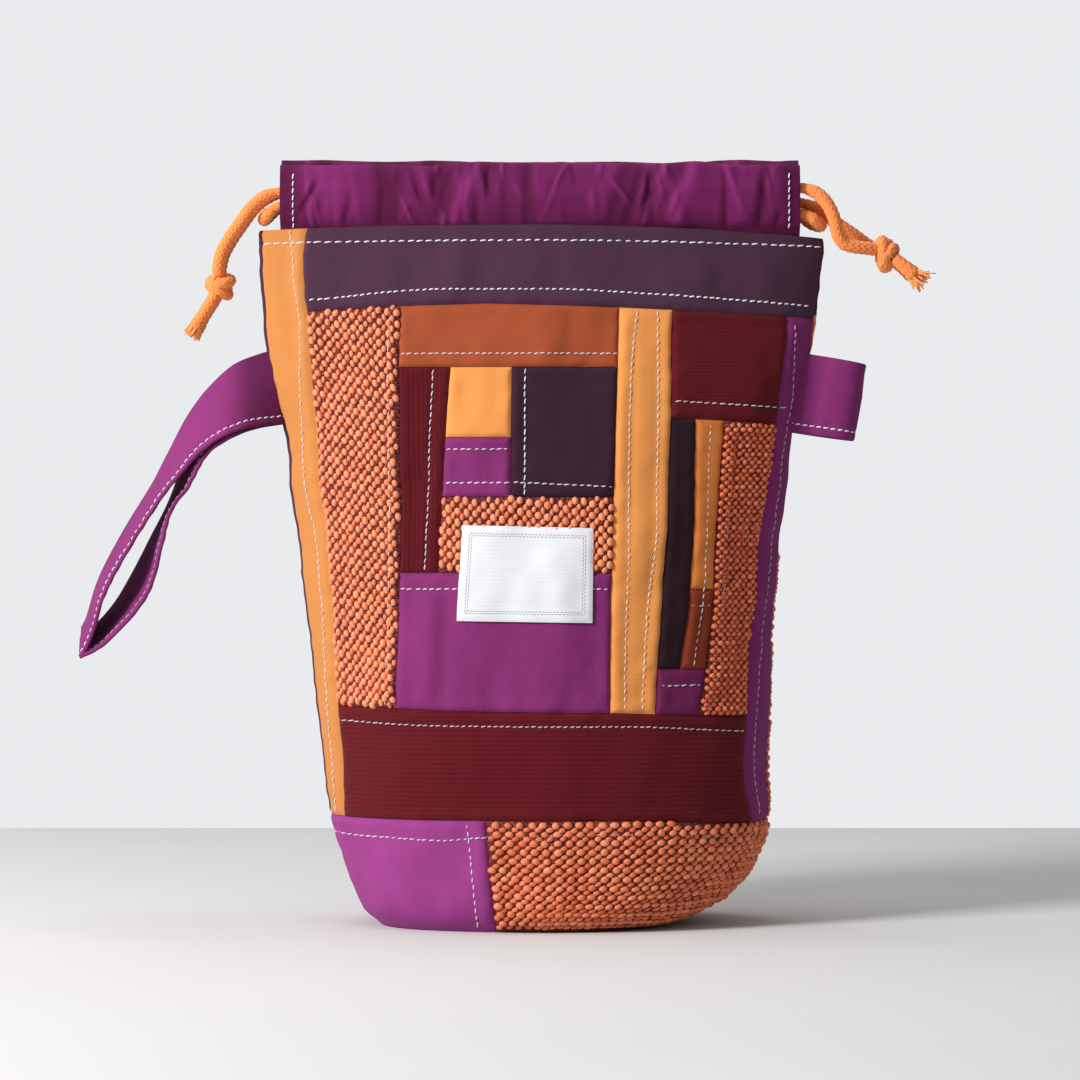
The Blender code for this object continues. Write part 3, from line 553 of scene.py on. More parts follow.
def inside_casing(heights, side, inward, backwards=False):
    """Points of a cord inside a casing, pushed inward at the crossing or not."""
    across = np.array((-CASING_HALF_WIDTH,) + CASING_STATIONS + (CASING_HALF_WIDTH,))
    depth = casing_line(across) - inward * CORD_CROSSING * crossing(across)
    points = np.stack([across, side * depth, at_points(heights, across)], axis=-1)
    return list(points[::-1] if backwards else points)


def leave_knot(knot, toward):
    """Two points that lead straight out from a knot, in the direction of another point."""
    centre, half = np.array(knot[0]), np.array(knot[1])
    direction = unit(np.array(toward) - centre)
    reach = 1 / np.linalg.norm(direction / half) + KNOT_GAP
    return [centre + direction * reach, centre + direction * (reach + KNOT_LEAD)]


def cord_route(knot, front, turn, back, inside):
    """Out of the knot, through the front casing, round, and back through the back one."""
    route = leave_knot(knot, front[0]) + front[1:] + inside[0] + turn + inside[1]
    return route + back[:-1] + leave_knot(knot, back[-1])[::-1]


left_route = cord_route(
    LEFT_KNOT, LEFT_CORD_FRONT, LEFT_CORD_TURN, LEFT_CORD_BACK,
    (inside_casing(LEFT_IN_FRONT, -1, 0), inside_casing(LEFT_IN_BACK, 1, 0, True)))
right_route = cord_route(
    RIGHT_KNOT, RIGHT_CORD_FRONT, RIGHT_CORD_TURN, RIGHT_CORD_BACK,
    (inside_casing(RIGHT_IN_FRONT, -1, 1, True), inside_casing(RIGHT_IN_BACK, 1, 1)))
print("route points:", len(left_route), "and", len(right_route))


# %% [markdown]
# ## Knitted surface
#
# Knitting shows as columns of V stitches: the height of the surface is a wave along the
# cord that is bent into a V across each column.

# %% cord surface
KNIT_COLUMNS = 8
KNIT_STITCH = 2.3
CORD_SIDES = 48


def run_along(route, fine, coarse):
    """Points along a route, fine apart in the open and coarse apart inside the casings."""
    route = np.asarray(route, float)
    along = travelled(route)
    dense = np.linspace(0, along[-1], int(along[-1] / 0.1))
    inside = np.abs(smooth(along, route[:, 0], dense)) < CASING_HALF_WIDTH - 4
    tick = np.cumsum(np.where(inside, 1 / coarse, 1 / fine)) * 0.1
    chosen = np.interp(np.arange(0, int(tick[-1]) + 1), tick, dense)
    chosen = np.append(chosen[:-1], along[-1])
    return read_path(route, chosen), chosen


def directions(path):
    """The two directions across a path, turned as little as possible from point to point."""
    along = unit(np.gradient(path, axis=0))
    side = np.empty_like(path)
    side[0] = unit(np.cross(along[0], (0.0, 1.0, 0.1)))
    for k in range(1, len(path)):
        side[k] = unit(side[k - 1] - along[k] * (side[k - 1] @ along[k]))
    return side, np.cross(along, side)


def knit(angle, along):
    """Height from 0 to 1 of knitted V stitches round and along a cord."""
    place = angle * KNIT_COLUMNS / (2 * math.pi)
    edge = np.abs(place - np.floor(place) - 0.5) * 2
    leg = 0.5 + 0.5 * np.cos(2 * math.pi * (along / KNIT_STITCH + 0.9 * edge))
    return leg**0.6 * (1 - 0.8 * edge**5) * (1 - 0.6 * (1 - edge) ** 5)


def tube(path, along, radius):
    """Grid of points round a path, knitted and rounded at its ends."""
    side, up = directions(path)
    angle = np.linspace(0, 2 * math.pi, CORD_SIDES, endpoint=False)[None, :]
    height = knit(angle + 0.12 * np.sin(along / 9.0)[:, None], along[:, None])
    radius = radius * np.ones(len(path))
    swell = radius[:, None] * (1 - 0.5 * (1 - height) / 2.6)
    close = np.minimum(along, along[-1] - along) / 0.6
    round_off = np.clip(close * (2 - close), 0.02, 1) * (close < 1) + (close >= 1)
    swell = swell * np.sqrt(round_off)[:, None]
    turn = side[:, None] * np.cos(angle)[..., None] + up[:, None] * np.sin(angle)[..., None]
    return path[:, None] + turn * swell[..., None], height


def knitted_piece(name, grids, extra=None):
    """One piece from several knitted tubes, with loose yarns if there are any."""
    points, faces, uv, tint, polygons = [], [], [], [], []
    count = 0
    for grid, height in grids:
        rows, columns = grid.shape[:2]
        faces.append(quads(rows, columns, True, count))
        polygons.append(count + np.arange(columns)[::-1])
        polygons.append(count + (rows - 1) * columns + np.arange(columns))
        points.append(grid.reshape(-1, 3))
        uv.append(cloth_map(grid))
        # The tops of the knitted stitches take the paler yarn colour: painted light.
        tint.append(height.ravel() ** 1.5)
        count += rows * columns
    if extra is not None:
        faces.append(extra[1] + count)
        points.append(extra[0])
        uv.append(extra[0][:, :2])
        tint.append(np.full(len(extra[0]), 0.8))
    return build(name, np.concatenate(points), np.concatenate(faces), [FINISHES["cord_yarn"]],
                 np.concatenate(uv), None, polygons, {"tint": np.concatenate(tint)})


def cord_piece(name, route):
    """A cord along its route, squeezed slimmer inside the casings."""
    path, along = run_along(route, 0.4, 3.0)
    outside = ease((np.abs(path[:, 0]) - CASING_HALF_WIDTH - 1) / 5)
    radius = (CORD_IN_CASING + (CORD_DIAMETER - CORD_IN_CASING) * outside) / 2
    return knitted_piece(name, [tube(path, along, radius)]), path, along[-1]


left_cord, left_path, left_length = cord_piece("left_cord_knitted", left_route)
right_cord, right_path, right_length = cord_piece("right_cord_knitted", right_route)
print("cord lengths in mm:", round(left_length), round(right_length))


# %% [markdown]
# ## Knots and frayed ends
#
# The two ends of a cord are tied together in a tight overhand knot. From outside it is a
# ball of two diagonal wraps pulled over each other. Each loose end is cut and has frayed
# into a tuft of fine fibres.

# %% knots
def wrap(knot, thick, axis, start, offset, drift):
    """Path of one wrap of cord round a knot.

    axis is what it goes round, offset how far along the axis it lies, as a share of the
    knot, and drift how far it slides along the axis from its start to its end.
    """
    centre, half = np.array(knot[0]), np.array(knot[1]) + 0.6 - thick / 2
    axis = unit(np.array(axis, float))
    first = unit(np.cross(axis, (0.0, 1.0, 0.0)))
    angle = np.radians(np.linspace(start, start + 372, 120))[:, None]
    shift = offset + np.linspace(-drift, drift, len(angle))[:, None]
    path = first * np.cos(angle) + np.cross(axis, first) * np.sin(angle)
    return (path * np.sqrt(1 - shift**2) + axis * shift) * half + centre


def knot_piece(name, knot, wraps):
    """A knot: its wraps over a short core that runs through the middle."""
    centre, half = np.array(knot[0]), np.array(knot[1])
    grids = []
    for thick, *way in wraps:
        path = wrap(knot, thick, *way)
        grids.append(tube(path, travelled(path), thick / 2))
    run = np.linspace(-0.86, 0.86, 24)
    core = centre + np.stack([0 * run, 0 * run, run * half[2]], axis=-1)
    swell = 0.72 * half[0] * np.sqrt(1 - run**2) + 0.4
    grids.append(tube(core, (run + 0.86) * half[2], swell))
    return knitted_piece(name, grids)


def tuft(end, direction, radius, count, length, spread, thick, seed):
    """Yarns that stand out of a cut end: points and faces."""
    dice = np.random.default_rng(seed)
    direction = unit(direction)
    side = unit(np.cross(direction, (0.0, 1.0, 0.0)))
    up = np.cross(direction, side)
    angle = (np.arange(count) * 2.4 + dice.uniform(0, 1, count))[:, None, None]
    out = radius * np.sqrt((np.arange(count) + 0.5) / count)[:, None, None]
    sprung = dice.normal(0, 0.35 * spread, (count, 1, 3))
    reach = length * dice.uniform(0.6, 1.0, count)[:, None, None]
    step = np.linspace(0, 1, 6)[None, :, None]
    away = side * np.cos(angle) + up * np.sin(angle)
    core = end + out * away + direction * (reach * step - 0.8)
    core = core + out / radius * away * reach * spread * step**1.3 + sprung * reach * step**2
    thin = (thick * (1 - 0.6 * step**2))[:, :, :, None]
    corner = np.radians(np.arange(4) * 90)[None, None, :, None]
    ring = core[:, :, None] + thin * (side * np.cos(corner) + up * np.sin(corner))
    first = (np.arange(count) * 24)[:, None, None]
    caps = np.array([[3, 2, 1, 0], [20, 21, 22, 23]])
    faces = [(part[None] + first).reshape(-1, 4) for part in (quads(6, 4, True), caps)]
    return ring.reshape(-1, 3), np.concatenate(faces)


# How an end has frayed: knitted length lost, number, length, spread and thickness of its yarns
SHORT_FRAY = (2.0, 60, 4.2, 0.24, 0.36)
LONG_FRAY = (4.4, 17, 6.2, 0.42, 0.58)
TUFT_RADIUS = 2.5


def tail_piece(name, knot, tail, fray, mirror, seed):
    """A loose end with its frayed yarns."""
    points = [np.array(point) * (1, mirror, 1) for point in tail]
    path, along = run_along(leave_knot(knot, points[0]) + points[1:], 0.4, 0.4)
    lost, *yarns = fray
    kept = along < along[-1] - lost
    path, along = path[kept], along[kept]
    swell = 0.98 + 0.2 * ease((along - along[-1] + 6) / 6)
    loose = tuft(path[-1], path[-1] - path[-8], TUFT_RADIUS, *yarns, seed)
    return knitted_piece(name, [tube(path, along, CORD_DIAMETER / 2 * swell)], loose)


left_ball = knot_piece("left_knot_knitted", LEFT_KNOT, [
    (4.7, (-0.12, -0.30, 0.95), 60, 0.42, 0.08), (4.7, (0.52, -0.12, 0.85), 250, -0.42, 0.10)])
right_ball = knot_piece("right_knot_knitted", RIGHT_KNOT, [
    (5.0, (0.97, -0.22, 0.20), 200, -0.10, 0.06), (4.2, (0.75, -0.35, -0.55), 90, 0.50, 0.08)])
seed = 3
for hand, cord, path, length, ball, knot, tail, fray in (
    ("left", left_cord, left_path, left_length, left_ball, LEFT_KNOT, LEFT_TAIL, SHORT_FRAY),
    ("right", right_cord, right_path, right_length, right_ball, RIGHT_KNOT, RIGHT_TAIL, LONG_FRAY),
):
    stands_for(cord, "cord_" + hand)
    stands_for(ball, "knot_" + hand)
    tails = []
    for place, mirror in (("front", 1), ("back", -1)):
        seed += 1
        tails.append(tail_piece(hand + "_tail_" + place, knot, tail, fray, mirror, seed))
        stands_for(tails[-1], "tail_" + hand + "_" + place)
print("knots made: 2, tails made: 4")


# %% [markdown]
# ## The shape of the body
#
# The body is a lofted bag. A level section is a rounded outline with its own left and
# right half width, half depth and squareness: the distance forward is the depth times the
# cosine of the turn, raised to twice the squareness. A point is found by its turn round
# the bag and its height. Moving a point in by an inset gives the other side of the cloth.

# %% body
# Height, left and right half width, half depth and squareness
BODY_RINGS = [
    (0, 59, 44, 38, 0.34),
    (6, 65.5, 62, 43.5, 0.38),
    (12, 68, 71.5, 45.5, 0.41),
    (22, 72, 79.5, 46.5, 0.44),
    (36, 77, 83.5, 47, 0.45),
    (54, 79.6, 84, 47, 0.46),
    (87, 83, 85.2, 45, 0.50),
    (135, 89.6, 88.5, 39.5, 0.55),
    (183, 95.2, 93.5, 31.5, 0.58),
    (220, 103.2, 102, 21.5, 0.60),
    (258, 105.2, 106.5, 13, 0.60),
]
RIM_LINE = [(-105, 257.5), (-50, 258.6), (0, 258.8), (50, 257.6), (106, 254.6)]
SHELL_THICKNESS = 1.2
LAYER_GAP = 0.8
SEWN_GAP = 0.10


def section(height):
    """Left and right half width, half depth and squareness of the body at a height."""
    heights = [ring[0] for ring in BODY_RINGS]
    return [smooth(heights, [ring[k] for ring in BODY_RINGS], height) for k in range(1, 5)]


def rim_height(across):
    """Height of the shell's top edge."""
    return at_points(RIM_LINE, across)


def body_point(turn, height, inset=0.0):
    """Point of the body: turn 0 is the front's middle, 90 the right side, 180 the back."""
    left, right, depth, square = section(height)
    sine = np.sin(np.radians(turn))
    cosine = np.cos(np.radians(turn))
    x = (np.where(sine < 0, left, right) - inset) * sine
    y = -np.sign(cosine) * (depth - inset) * np.abs(cosine) ** (2 * square)
    floor = inset * (1 - ease(height / 36))
    return np.stack([x, y, height + floor], axis=-1)


def body_depth(across, height, inset):
    """How far the front surface lies from the middle plane at a place across."""
    left, right, depth, square = section(height)
    half = np.where(across < 0, left, right) - inset
    share = np.clip(1 - (across / half) ** 2, 0, 1)
    return (depth - inset) * share**square


def front_turn(across, height):
    """Turn of a place on the front."""
    left, right, _, _ = section(height)
    return np.degrees(np.arcsin(np.clip(across / np.where(across < 0, left, right), -1, 1)))


print("widest level section:", round(max(r[1] + r[2] for r in BODY_RINGS)), "mm")


# %% [markdown]
# ## Seams and topstitching
#
# Every seam of the front was measured in the picture: upright ones as (across, height)
# points, level ones from left to right. Beside most seams runs a line of white topstitches
# that holds the seam allowance down.

# %% seams
UPRIGHT_SEAMS = {
    "mustard": [(-72.6, 41), (-73.8, 83), (-78, 137), (-82.4, 175), (-85.2, 212), (-87.2, 259)],
    "purple": [(77, 41), (75, 58), (76, 78), (82.7, 151), (87.4, 184), (92, 225)],
    "tweed": [(-51.6, 80), (-51.4, 229)],
    "column": [(-37.3, 130), (-36, 157), (-34.3, 187), (-32.9, 205)],
    "middle": [(-10.9, 158), (-10.3, 206)],
    "strip_left": [(25.6, 80), (26, 124), (27, 158), (29.4, 228)],
    "strip_right": [(41.9, 80), (45.8, 141), (48.2, 186), (49, 228)],
    "dark": [(51.2, 95), (53.8, 116), (56.2, 146), (57.5, 187)],
    "narrow": [(58.1, 79), (61.4, 98), (64.6, 146), (67.9, 187)],
    "base": [(-16, 0), (-18, 21), (-19.8, 41)],
}
LEVEL_SEAMS = {
    "band": [(-85, 226.8), (-53, 228.4), (-19.5, 229.3), (29.4, 227.8), (101, 224.8)],
    "rust": [(-52, 205.6), (30, 205.6)],
    "mustard": [(-34, 179.7), (-10, 179.7)],
    "column": [(-37, 158.0), (28, 157.6)],
    "tweed": [(-52, 130.3), (27, 130.3)],
    "corduroy": [(48, 186.8), (91, 185.3)],
    "narrow": [(53, 124.4), (65, 124.3)],
    "small": [(41, 95.5), (63, 95.2)],
    "cross": [(-73, 81.7), (-22, 80.2), (29, 79.6), (76, 77.7)],
    "base": [(-73, 40.7), (-20, 41.0), (29, 41.0), (79, 38.5)],
}
BACK_BAND_HEIGHT = 226.0
BACK_SPLIT = 38.0
BACK_ROW = 138.0
BACK_HALF = 95.0

# Each stitch line with how white its thread looks: painted light and shade, whiter where light
# falls and greyer in shade
UPRIGHT_STITCHES = [
    (0.75, [(-94, 258.1), (-91.7, 246.1), (-88.8, 219.9), (-88.8, 182.9), (-85.8, 157),
            (-81.9, 134.8), (-79.2, 105.4), (-76.7, 61.1), (-75.3, 41.9)]),
    (0.4, [(94.2, 222.3), (94, 200.5), (88.6, 168.9), (86.4, 140.7), (80.4, 86.9),
           (78.3, 61.3), (80, 40.9)]),
    (0.65, [(-39.2, 205.2), (-40.2, 186.7), (-42.1, 130.8)]),
    (0.8, [(-5.5, 205.2), (-5.6, 158)]),
    (0.65, [(35.7, 227.0), (33.3, 199.6), (32.4, 162.2), (31.9, 130.2), (30.7, 80.5)]),
    (0.7, [(43.4, 227.0), (43.6, 205.2), (42.2, 146.2), (39.1, 114.3), (37.2, 80.4)]),
    (0.6, [(62.7, 185.4), (61, 151.3), (59.4, 123.6), (56, 96.1)]),
    (0.6, [(72.8, 184.9), (69.3, 151.4), (67.7, 130.1), (62.2, 80.0)]),
    (0.7, [(-55.2, 227.5), (-55.2, 82.0)]),
    (0.75, [(-26.7, 40.3), (-22.5, 1.5)]),
]
# The same for level lines, with the distance from stitch to stitch
STITCH_PITCH = 2.7
LEVEL_STITCHES = [
    (1.0, 3.35, [(-103.6, 252.5), (0, 252.9), (105.1, 251.4)]),
    (1.0, 2.55, [(-84.8, 231), (-36.4, 234.6), (5.9, 234.5), (36.8, 233.1), (100.4, 229.2)]),
    (0.7, 2.4, [(-51, 210.6), (29.0, 210.6)]),
    (0.7, STITCH_PITCH, [(-34.5, 175.3), (-10.9, 175.3)]),
    (0.8, STITCH_PITCH, [(-34.9, 163.0), (-10.9, 163.0)]),
    (0.7, STITCH_PITCH, [(-10.2, 163.2), (27.0, 161.5)]),
    (0.75, STITCH_PITCH, [(-51.2, 124.4), (25.7, 124.4)]),
    (0.6, STITCH_PITCH, [(49.4, 193.1), (90.9, 191.2)]),
    (0.5, STITCH_PITCH, [(54.2, 118.3), (62.6, 118.3)]),
    (0.6, STITCH_PITCH, [(43.0, 89.4), (60.0, 89.4)]),
    (0.5, 2.3, [(-72.6, 76.2), (-36.1, 75), (28.8, 74.8), (75.2, 72.2)]),
    (0.6, 2.4, [(-79.2, 34.2), (-59.7, 34.1), (-36.1, 33.6), (-19.8, 35), (20, 36), (80, 33.6)]),
]


def trace(line, upright, step=None):
    """Points about a step apart along a seam or stitch line, as (across, height)."""
    step = step or (12 if upright else 20)
    line = sorted(line, key=lambda p: p[1] if upright else p[0])
    keys = [p[1] if upright else p[0] for p in line]
    other = [p[0] if upright else p[1] for p in line]
    place = np.linspace(keys[0], keys[-1], max(2, int((keys[-1] - keys[0]) / step) + 1))
    value = smooth(keys, other, place)
    return np.stack([value, place] if upright else [place, value], axis=-1)


def nearest(x, z, lines):
    """Distance from each place to the nearest of several traced lines."""
    best = np.full(np.shape(x), 1e3)
    for line in lines:
        for a, b in zip(line[:-1], line[1:]):
            run = b - a
            share = np.clip(((x - a[0]) * run[0] + (z - a[1]) * run[1]) / (run @ run), 0, 1)
            away = np.hypot(x - a[0] - share * run[0], z - a[1] - share * run[1])
            best = np.minimum(best, away)
    return best


base_seam = LEVEL_SEAMS["base"]
level_seams = [line for line in LEVEL_SEAMS.values() if line is not base_seam]
level_seams.append([(-90, 40.7)] + base_seam + [(92, 38.2)])
front_seams = [trace(line, True) for line in UPRIGHT_SEAMS.values()]
front_seams += [trace(line, False) for line in level_seams]
front_stitches = [trace(line, True) for _, line in UPRIGHT_STITCHES]
front_stitches += [trace(line, False) for _, _, line in LEVEL_STITCHES]
back_seams = [np.array(ends) for ends in (
    [(-BACK_HALF, BACK_BAND_HEIGHT), (BACK_HALF, BACK_BAND_HEIGHT)],
    [(BACK_SPLIT, 41.0), (BACK_SPLIT, BACK_BAND_HEIGHT)],
    [(BACK_SPLIT, BACK_ROW), (BACK_HALF, BACK_ROW)],
)]
back_seams += [trace(base_seam, False), trace(UPRIGHT_SEAMS["base"], True)]
print("front seams:", len(front_seams), "and stitch lines:", len(front_stitches))


# %% [markdown]
# ## Relief of the cloth
#
# Cotton that is sewn and then filled out is never smooth. It dips into each seam, swells
# beside it over the folded allowance, dips again under the topstitches with a small pucker
# at each one, and sags in long soft waves between. All of this is one field over the whole
# front, so two patches that share a seam always meet.

# %% relief
LEFT_SEAM_TURN = [(0, -84), (60, -83), (200, -82.5), (260, -81.5)]
RIGHT_SEAM_TURN = [(0, 84), (60, 84.5), (85, 89), (205, 89), (224, 84), (260, 85)]

# Soft folds that the picture shows: from, to, how high, how wide
SOFT_FOLDS = [
    ((-42, 134), (-44, 70), 1.2, 24.0),
    ((-85, 260), (-83, 224), 1.3, 7.0),
    ((-38.5, 132), (-40, 76), 1.2, 4.2),
    ((-33.5, 132), (-35, 76), -0.7, 2.6),
    ((-24, 96), (-21, 78), 0.45, 3.0),
    ((-9, 98), (-12, 78), 0.4, 3.5),
    ((9, 100), (6, 79), 0.4, 3.0),
    ((-52, 36), (-50, 4), 0.9, 8.0),
    ((-29, 40), (-27, 12), -0.8, 4.0),
    ((-64, 30), (-58, 2), 0.7, 5.0),
    ((22, 78), (30, 42), 0.5, 9.0),
    ((-3, 230), (4, 204), 0.7, 4.0),
    ((12, 230), (9, 204), -0.5, 3.0),
    ((-28, 258), (-34, 228), 0.7, 6.0),
    ((0, 258), (8, 230), -0.6, 6.0),
    ((78, 256), (84, 228), 0.9, 6.0),
    ((68, 226), (80, 186), 0.6, 7.0),
    ((38, 226), (36, 110), 0.35, 3.0),
    ((-90, 256), (-84, 180), 0.5, 4.0),
    ((-96, 262), (-92, 205), -0.7, 3.5),
    ((40, 256), (60, 228), 0.45, 8.0),
    ((-60, 256), (-40, 228), -0.4, 7.0),
]


def left_seam(height):
    """Turn of the left side seam: the back comes a little way round to the front."""
    return at_points(LEFT_SEAM_TURN, height)


def right_seam(height):
    """Turn of the right side seam."""
    return at_points(RIGHT_SEAM_TURN, height)


def sag(x, height, front):
    """Soft unevenness of the filled bag: long waves, and the folds that the picture shows."""
    total = 0.70 * waves(x, height * 0.6, 44, 8) + 0.42 * waves(x, height * 0.7, 21, 9)
    total = total + 0.16 * waves(x, height * 0.8, 9.5, 15)
    for (x0, z0), (x1, z1), rise, width in SOFT_FOLDS:
        run = np.array([x1 - x0, z1 - z0])
        share = ((x - x0) * run[0] + (height - z0) * run[1]) / (run @ run)
        away = ((x - x0) * run[1] - (height - z0) * run[0]) / np.hypot(*run)
        fold = rise * bell(away, width) * ease(share * 4) * ease((1 - share) * 4)
        total = total + np.where(front, fold, 0)
    return total


def lift(turn, height):
    """How far the cloth stands out from the plain body, in millimetres."""
    turn = (np.asarray(turn, float) + 180) % 360 - 180
    height = np.asarray(height, float)
    x = body_point(turn, height)[..., 0]
    front = np.cos(np.radians(turn)) > 0
    to_seam = np.where(front, nearest(x, height, front_seams), nearest(x, height, back_seams))
    to_stitch = np.where(front, nearest(x, height, front_stitches), 99.0)
    to_side = np.minimum(np.abs(turn - left_seam(height)), np.abs(turn - right_seam(height)))
    to_seam = np.minimum(to_seam, 0.8 * to_side)
    pucker = 0.14 * np.sin(2 * math.pi * (x + height) / 3.6) * bell(to_stitch, 2.0)
    total = -0.60 * bell(to_seam, 0.75) + 0.42 * bell(to_seam - 2.4, 1.7)
    total = total - 0.38 * bell(to_stitch, 0.8) + pucker
    total = total + 0.24 * waves(x, height, 9, 5) * bell(to_seam, 7) + sag(x, height, front)
    total = total - 0.5 * bell(rim_height(x) - height, 0.8)
    return total * ease(height / 8)


def skin(turn, height, extra=0.0):
    """Point of the finished outside of the shell."""
    return body_point(turn, height, -(lift(turn, height) + extra))


print("lift at the middle of the front:", round(float(lift(0.0, 150.0)), 2), "mm")


# %% [markdown]
# ## A patch as a grid
#
# A patch is a grid of points between two upright edges and two level ones. Its rows and
# columns lie closer together at the edges, where the cloth rolls down into the seam.

# %% patch grids
def front_edge(line, shift=0.0):
    """Turn of a seam line of the front at each height, moved sideways by shift."""
    return lambda height: front_turn(across_at(line, height) + shift, height)


def back_edge(line, shift, sign):
    """Turn of a seam line of the back, reached round the left (-1) or right (1) side."""
    front = front_edge(line, shift)
    return lambda height: sign * 180 - front(height)


def level(line, shift=0.0):
    """Height of a seam line at each place across, moved up by shift."""
    return lambda across: at_level(line, across) + shift


def at_level(line, across):
    """Read a level line with straight parts between its points."""
    return straight([p[0] for p in line], [p[1] for p in line], across)


def flat(height):
    """The same height all the way across."""
    return lambda across: height + 0 * across


def spaced(length, cell):
    """Places from 0 to 1 along a patch, closer together at its two edges."""
    edge = np.array([0.0, 0.25, 0.6, 1.1]) / length
    middle = np.linspace(1.8, length - 1.8, max(2, int((length - 3.6) / cell) + 1)) / length
    return np.concatenate([edge, middle, 1 - edge[::-1]])


def between(start, end, u, height, heights_at):
    """Turn and height of grid points whose rows follow the level seams."""
    for _ in range(6):
        turn = start(height) + (end(height) - start(height)) * u
        across = body_point(turn, height)[..., 0]
        height = heights_at(across)
    return turn, height


def places(start, end, bottom, top, cells):
    """Turn and height of the points of a patch."""
    middle = (bottom(0.0) + top(0.0)) / 2
    ends = np.linspace(float(start(middle)), float(end(middle)), 40)
    width = travelled(body_point(ends, middle + 0 * ends))[-1]
    tall = float(top(0.0) - bottom(0.0))
    u, v = np.meshgrid(spaced(width, cells[0]), spaced(tall, cells[1]))
    return between(start, end, u, np.full(u.shape, float(middle)),
                   lambda across: bottom(across) + (top(across) - bottom(across)) * v)


def wale(place, pitch):
    """Height from 0 to 1 of a corduroy's rounded ribs."""
    return np.abs(np.sin(math.pi * place / pitch)) ** 0.55


print("places along a 20 mm patch:", len(spaced(20.0, 1.5)))


# %% [markdown]
# ## Beads of the tweed
#
# The tweed is a dark ground with bright yarn that comes up in beads. Lines of large beads
# take turns with lines of small ones, and each line is shifted along against the last, so
# that a bead lies beside the gap between two others.

# %% tweed
# For each patch: distance between lines of beads, distance along a line, how far each line
# is shifted as a share of that, whether the lines stand upright, the half sizes of the large
# and small beads, and how pale the yarn is, which paints light on the left and middle patches and
# shade on the right one
WIDE_TWEED = (1.62, 4.0, 0.46, False, (1.62, 1.28), (1.40, 0.98), 0.42)
TWEEDS = {
    "tweed_left": (1.56, 4.0, 0.42, True, (1.16, 1.48), (0.88, 1.32), 0.85),
    "tweed_middle": (1.62, 4.2, 0.42, True, (1.26, 1.58), (0.92, 1.38), 0.8),
    "tweed_right": (1.50, 3.0, 0.5, False, (1.16, 1.0), (1.12, 0.96), 0.1),
    "base_tweed": WIDE_TWEED,
    "back_tweed": WIDE_TWEED,
}
# Left, right, bottom and top of the place that the label covers
LABEL_PLACE = (-27.5, 17.7, 113.9, 145.2)
SIDE_MARGIN, BOTTOM_MARGIN, TOP_MARGIN = 0.45, 0.5, 0.4
# Rings of a bead, each with its width and height as shares, below a tip of height 1
BEAD_RINGS = ((1, -0.25), (0.93, 0.42), (0.55, 0.86))
BEAD_SIDES = 8
BEAD_POINTS = len(BEAD_RINGS) * BEAD_SIDES + 1


def domes(centre, first, other, size, turned):
    """Rounded beads on a surface: points, sides, tips and map.

    size is the half width, half length and height of each bead.
    """
    around = np.radians(np.arange(BEAD_SIDES) * 45)
    ring = np.stack([np.cos(around), np.sin(around), 0 * around], axis=-1)
    shell = [ring * (wide, wide, 0) + (0, 0, high) for wide, high in BEAD_RINGS]
    template = np.concatenate(shell + [np.array([[0, 0, 1.0]])])
    normal = unit(np.cross(first, other))
    local = template[None] * size[:, None]
    cosine, sine = np.cos(turned)[:, None], np.sin(turned)[:, None]
    a = local[..., 0] * cosine - local[..., 1] * sine
    b = local[..., 0] * sine + local[..., 1] * cosine
    points = centre[:, None] + a[..., None] * first[:, None] + b[..., None] * other[:, None]
    points = points + local[..., 2, None] * normal[:, None]
    last = (len(BEAD_RINGS) - 1) * BEAD_SIDES
    corner = np.arange(BEAD_SIDES)
    tip = np.stack([last + corner, last + (corner + 1) % BEAD_SIDES,
                    np.full(BEAD_SIDES, last + BEAD_SIDES)], axis=-1)
    uv = np.stack([a + centre[:, None, 0], b + centre[:, None, 2]], axis=-1)
    start = (np.arange(len(centre)) * BEAD_POINTS)[:, None, None]
    side = quads(len(BEAD_RINGS), BEAD_SIDES, True)
    return (points.reshape(-1, 3), (side[None] + start).reshape(-1, 4),
            (tip[None] + start).reshape(-1, 3), uv.reshape(-1, 2))


def bead_lines(reach, length, apart, pitch, shift, dice):
    """Places across and along the lines of a tweed, and which beads are large."""
    line, step = np.meshgrid(np.arange(int(reach / apart) + 1), np.arange(int(length / pitch) + 2))
    line, step = line.ravel(), step.ravel()
    along = pitch * (step + shift * line % 1) + dice.normal(0, 0.13, line.size)
    return apart * line + dice.normal(0, 0.09, line.size), along, line % 2 == 0


def bead_places(start, end, bottom, top, apart, pitch, shift, upright, dice):
    """Turn and height of the beads of a patch, and which of them are large."""
    middle = float(bottom(0.0) + top(0.0)) / 2
    turns = np.linspace(float(start(middle)) - 4, float(end(middle)) + 4, 500)
    arc = travelled(body_point(turns, middle + 0 * turns))
    low = min(float(bottom(x)) for x in (-80.0, 0.0, 80.0))
    high = max(float(top(x)) for x in (-80.0, 0.0, 80.0))
    if upright:
        at_arc, rise, large = bead_lines(arc[-1], high - low, apart, pitch, shift, dice)
    else:
        rise, at_arc, large = bead_lines(high - low, arc[-1], apart, pitch, shift, dice)
    height = low + rise
    turn = np.interp(at_arc, arc, turns)
    across = body_point(turn, height)[..., 0]
    margin = SIDE_MARGIN * (turns[-1] - turns[0]) / arc[-1]
    keep = (turn > start(height) + margin) & (turn < end(height) - margin)
    keep &= (height > bottom(across) + BOTTOM_MARGIN) & (height < top(across) - TOP_MARGIN)
    left, right, under, over = LABEL_PLACE
    hidden = (across > left) & (across < right) & (height > under) & (height < over)
    keep &= ~(hidden & (np.abs(turn) < 90))
    return turn[keep], height[keep], large[keep]


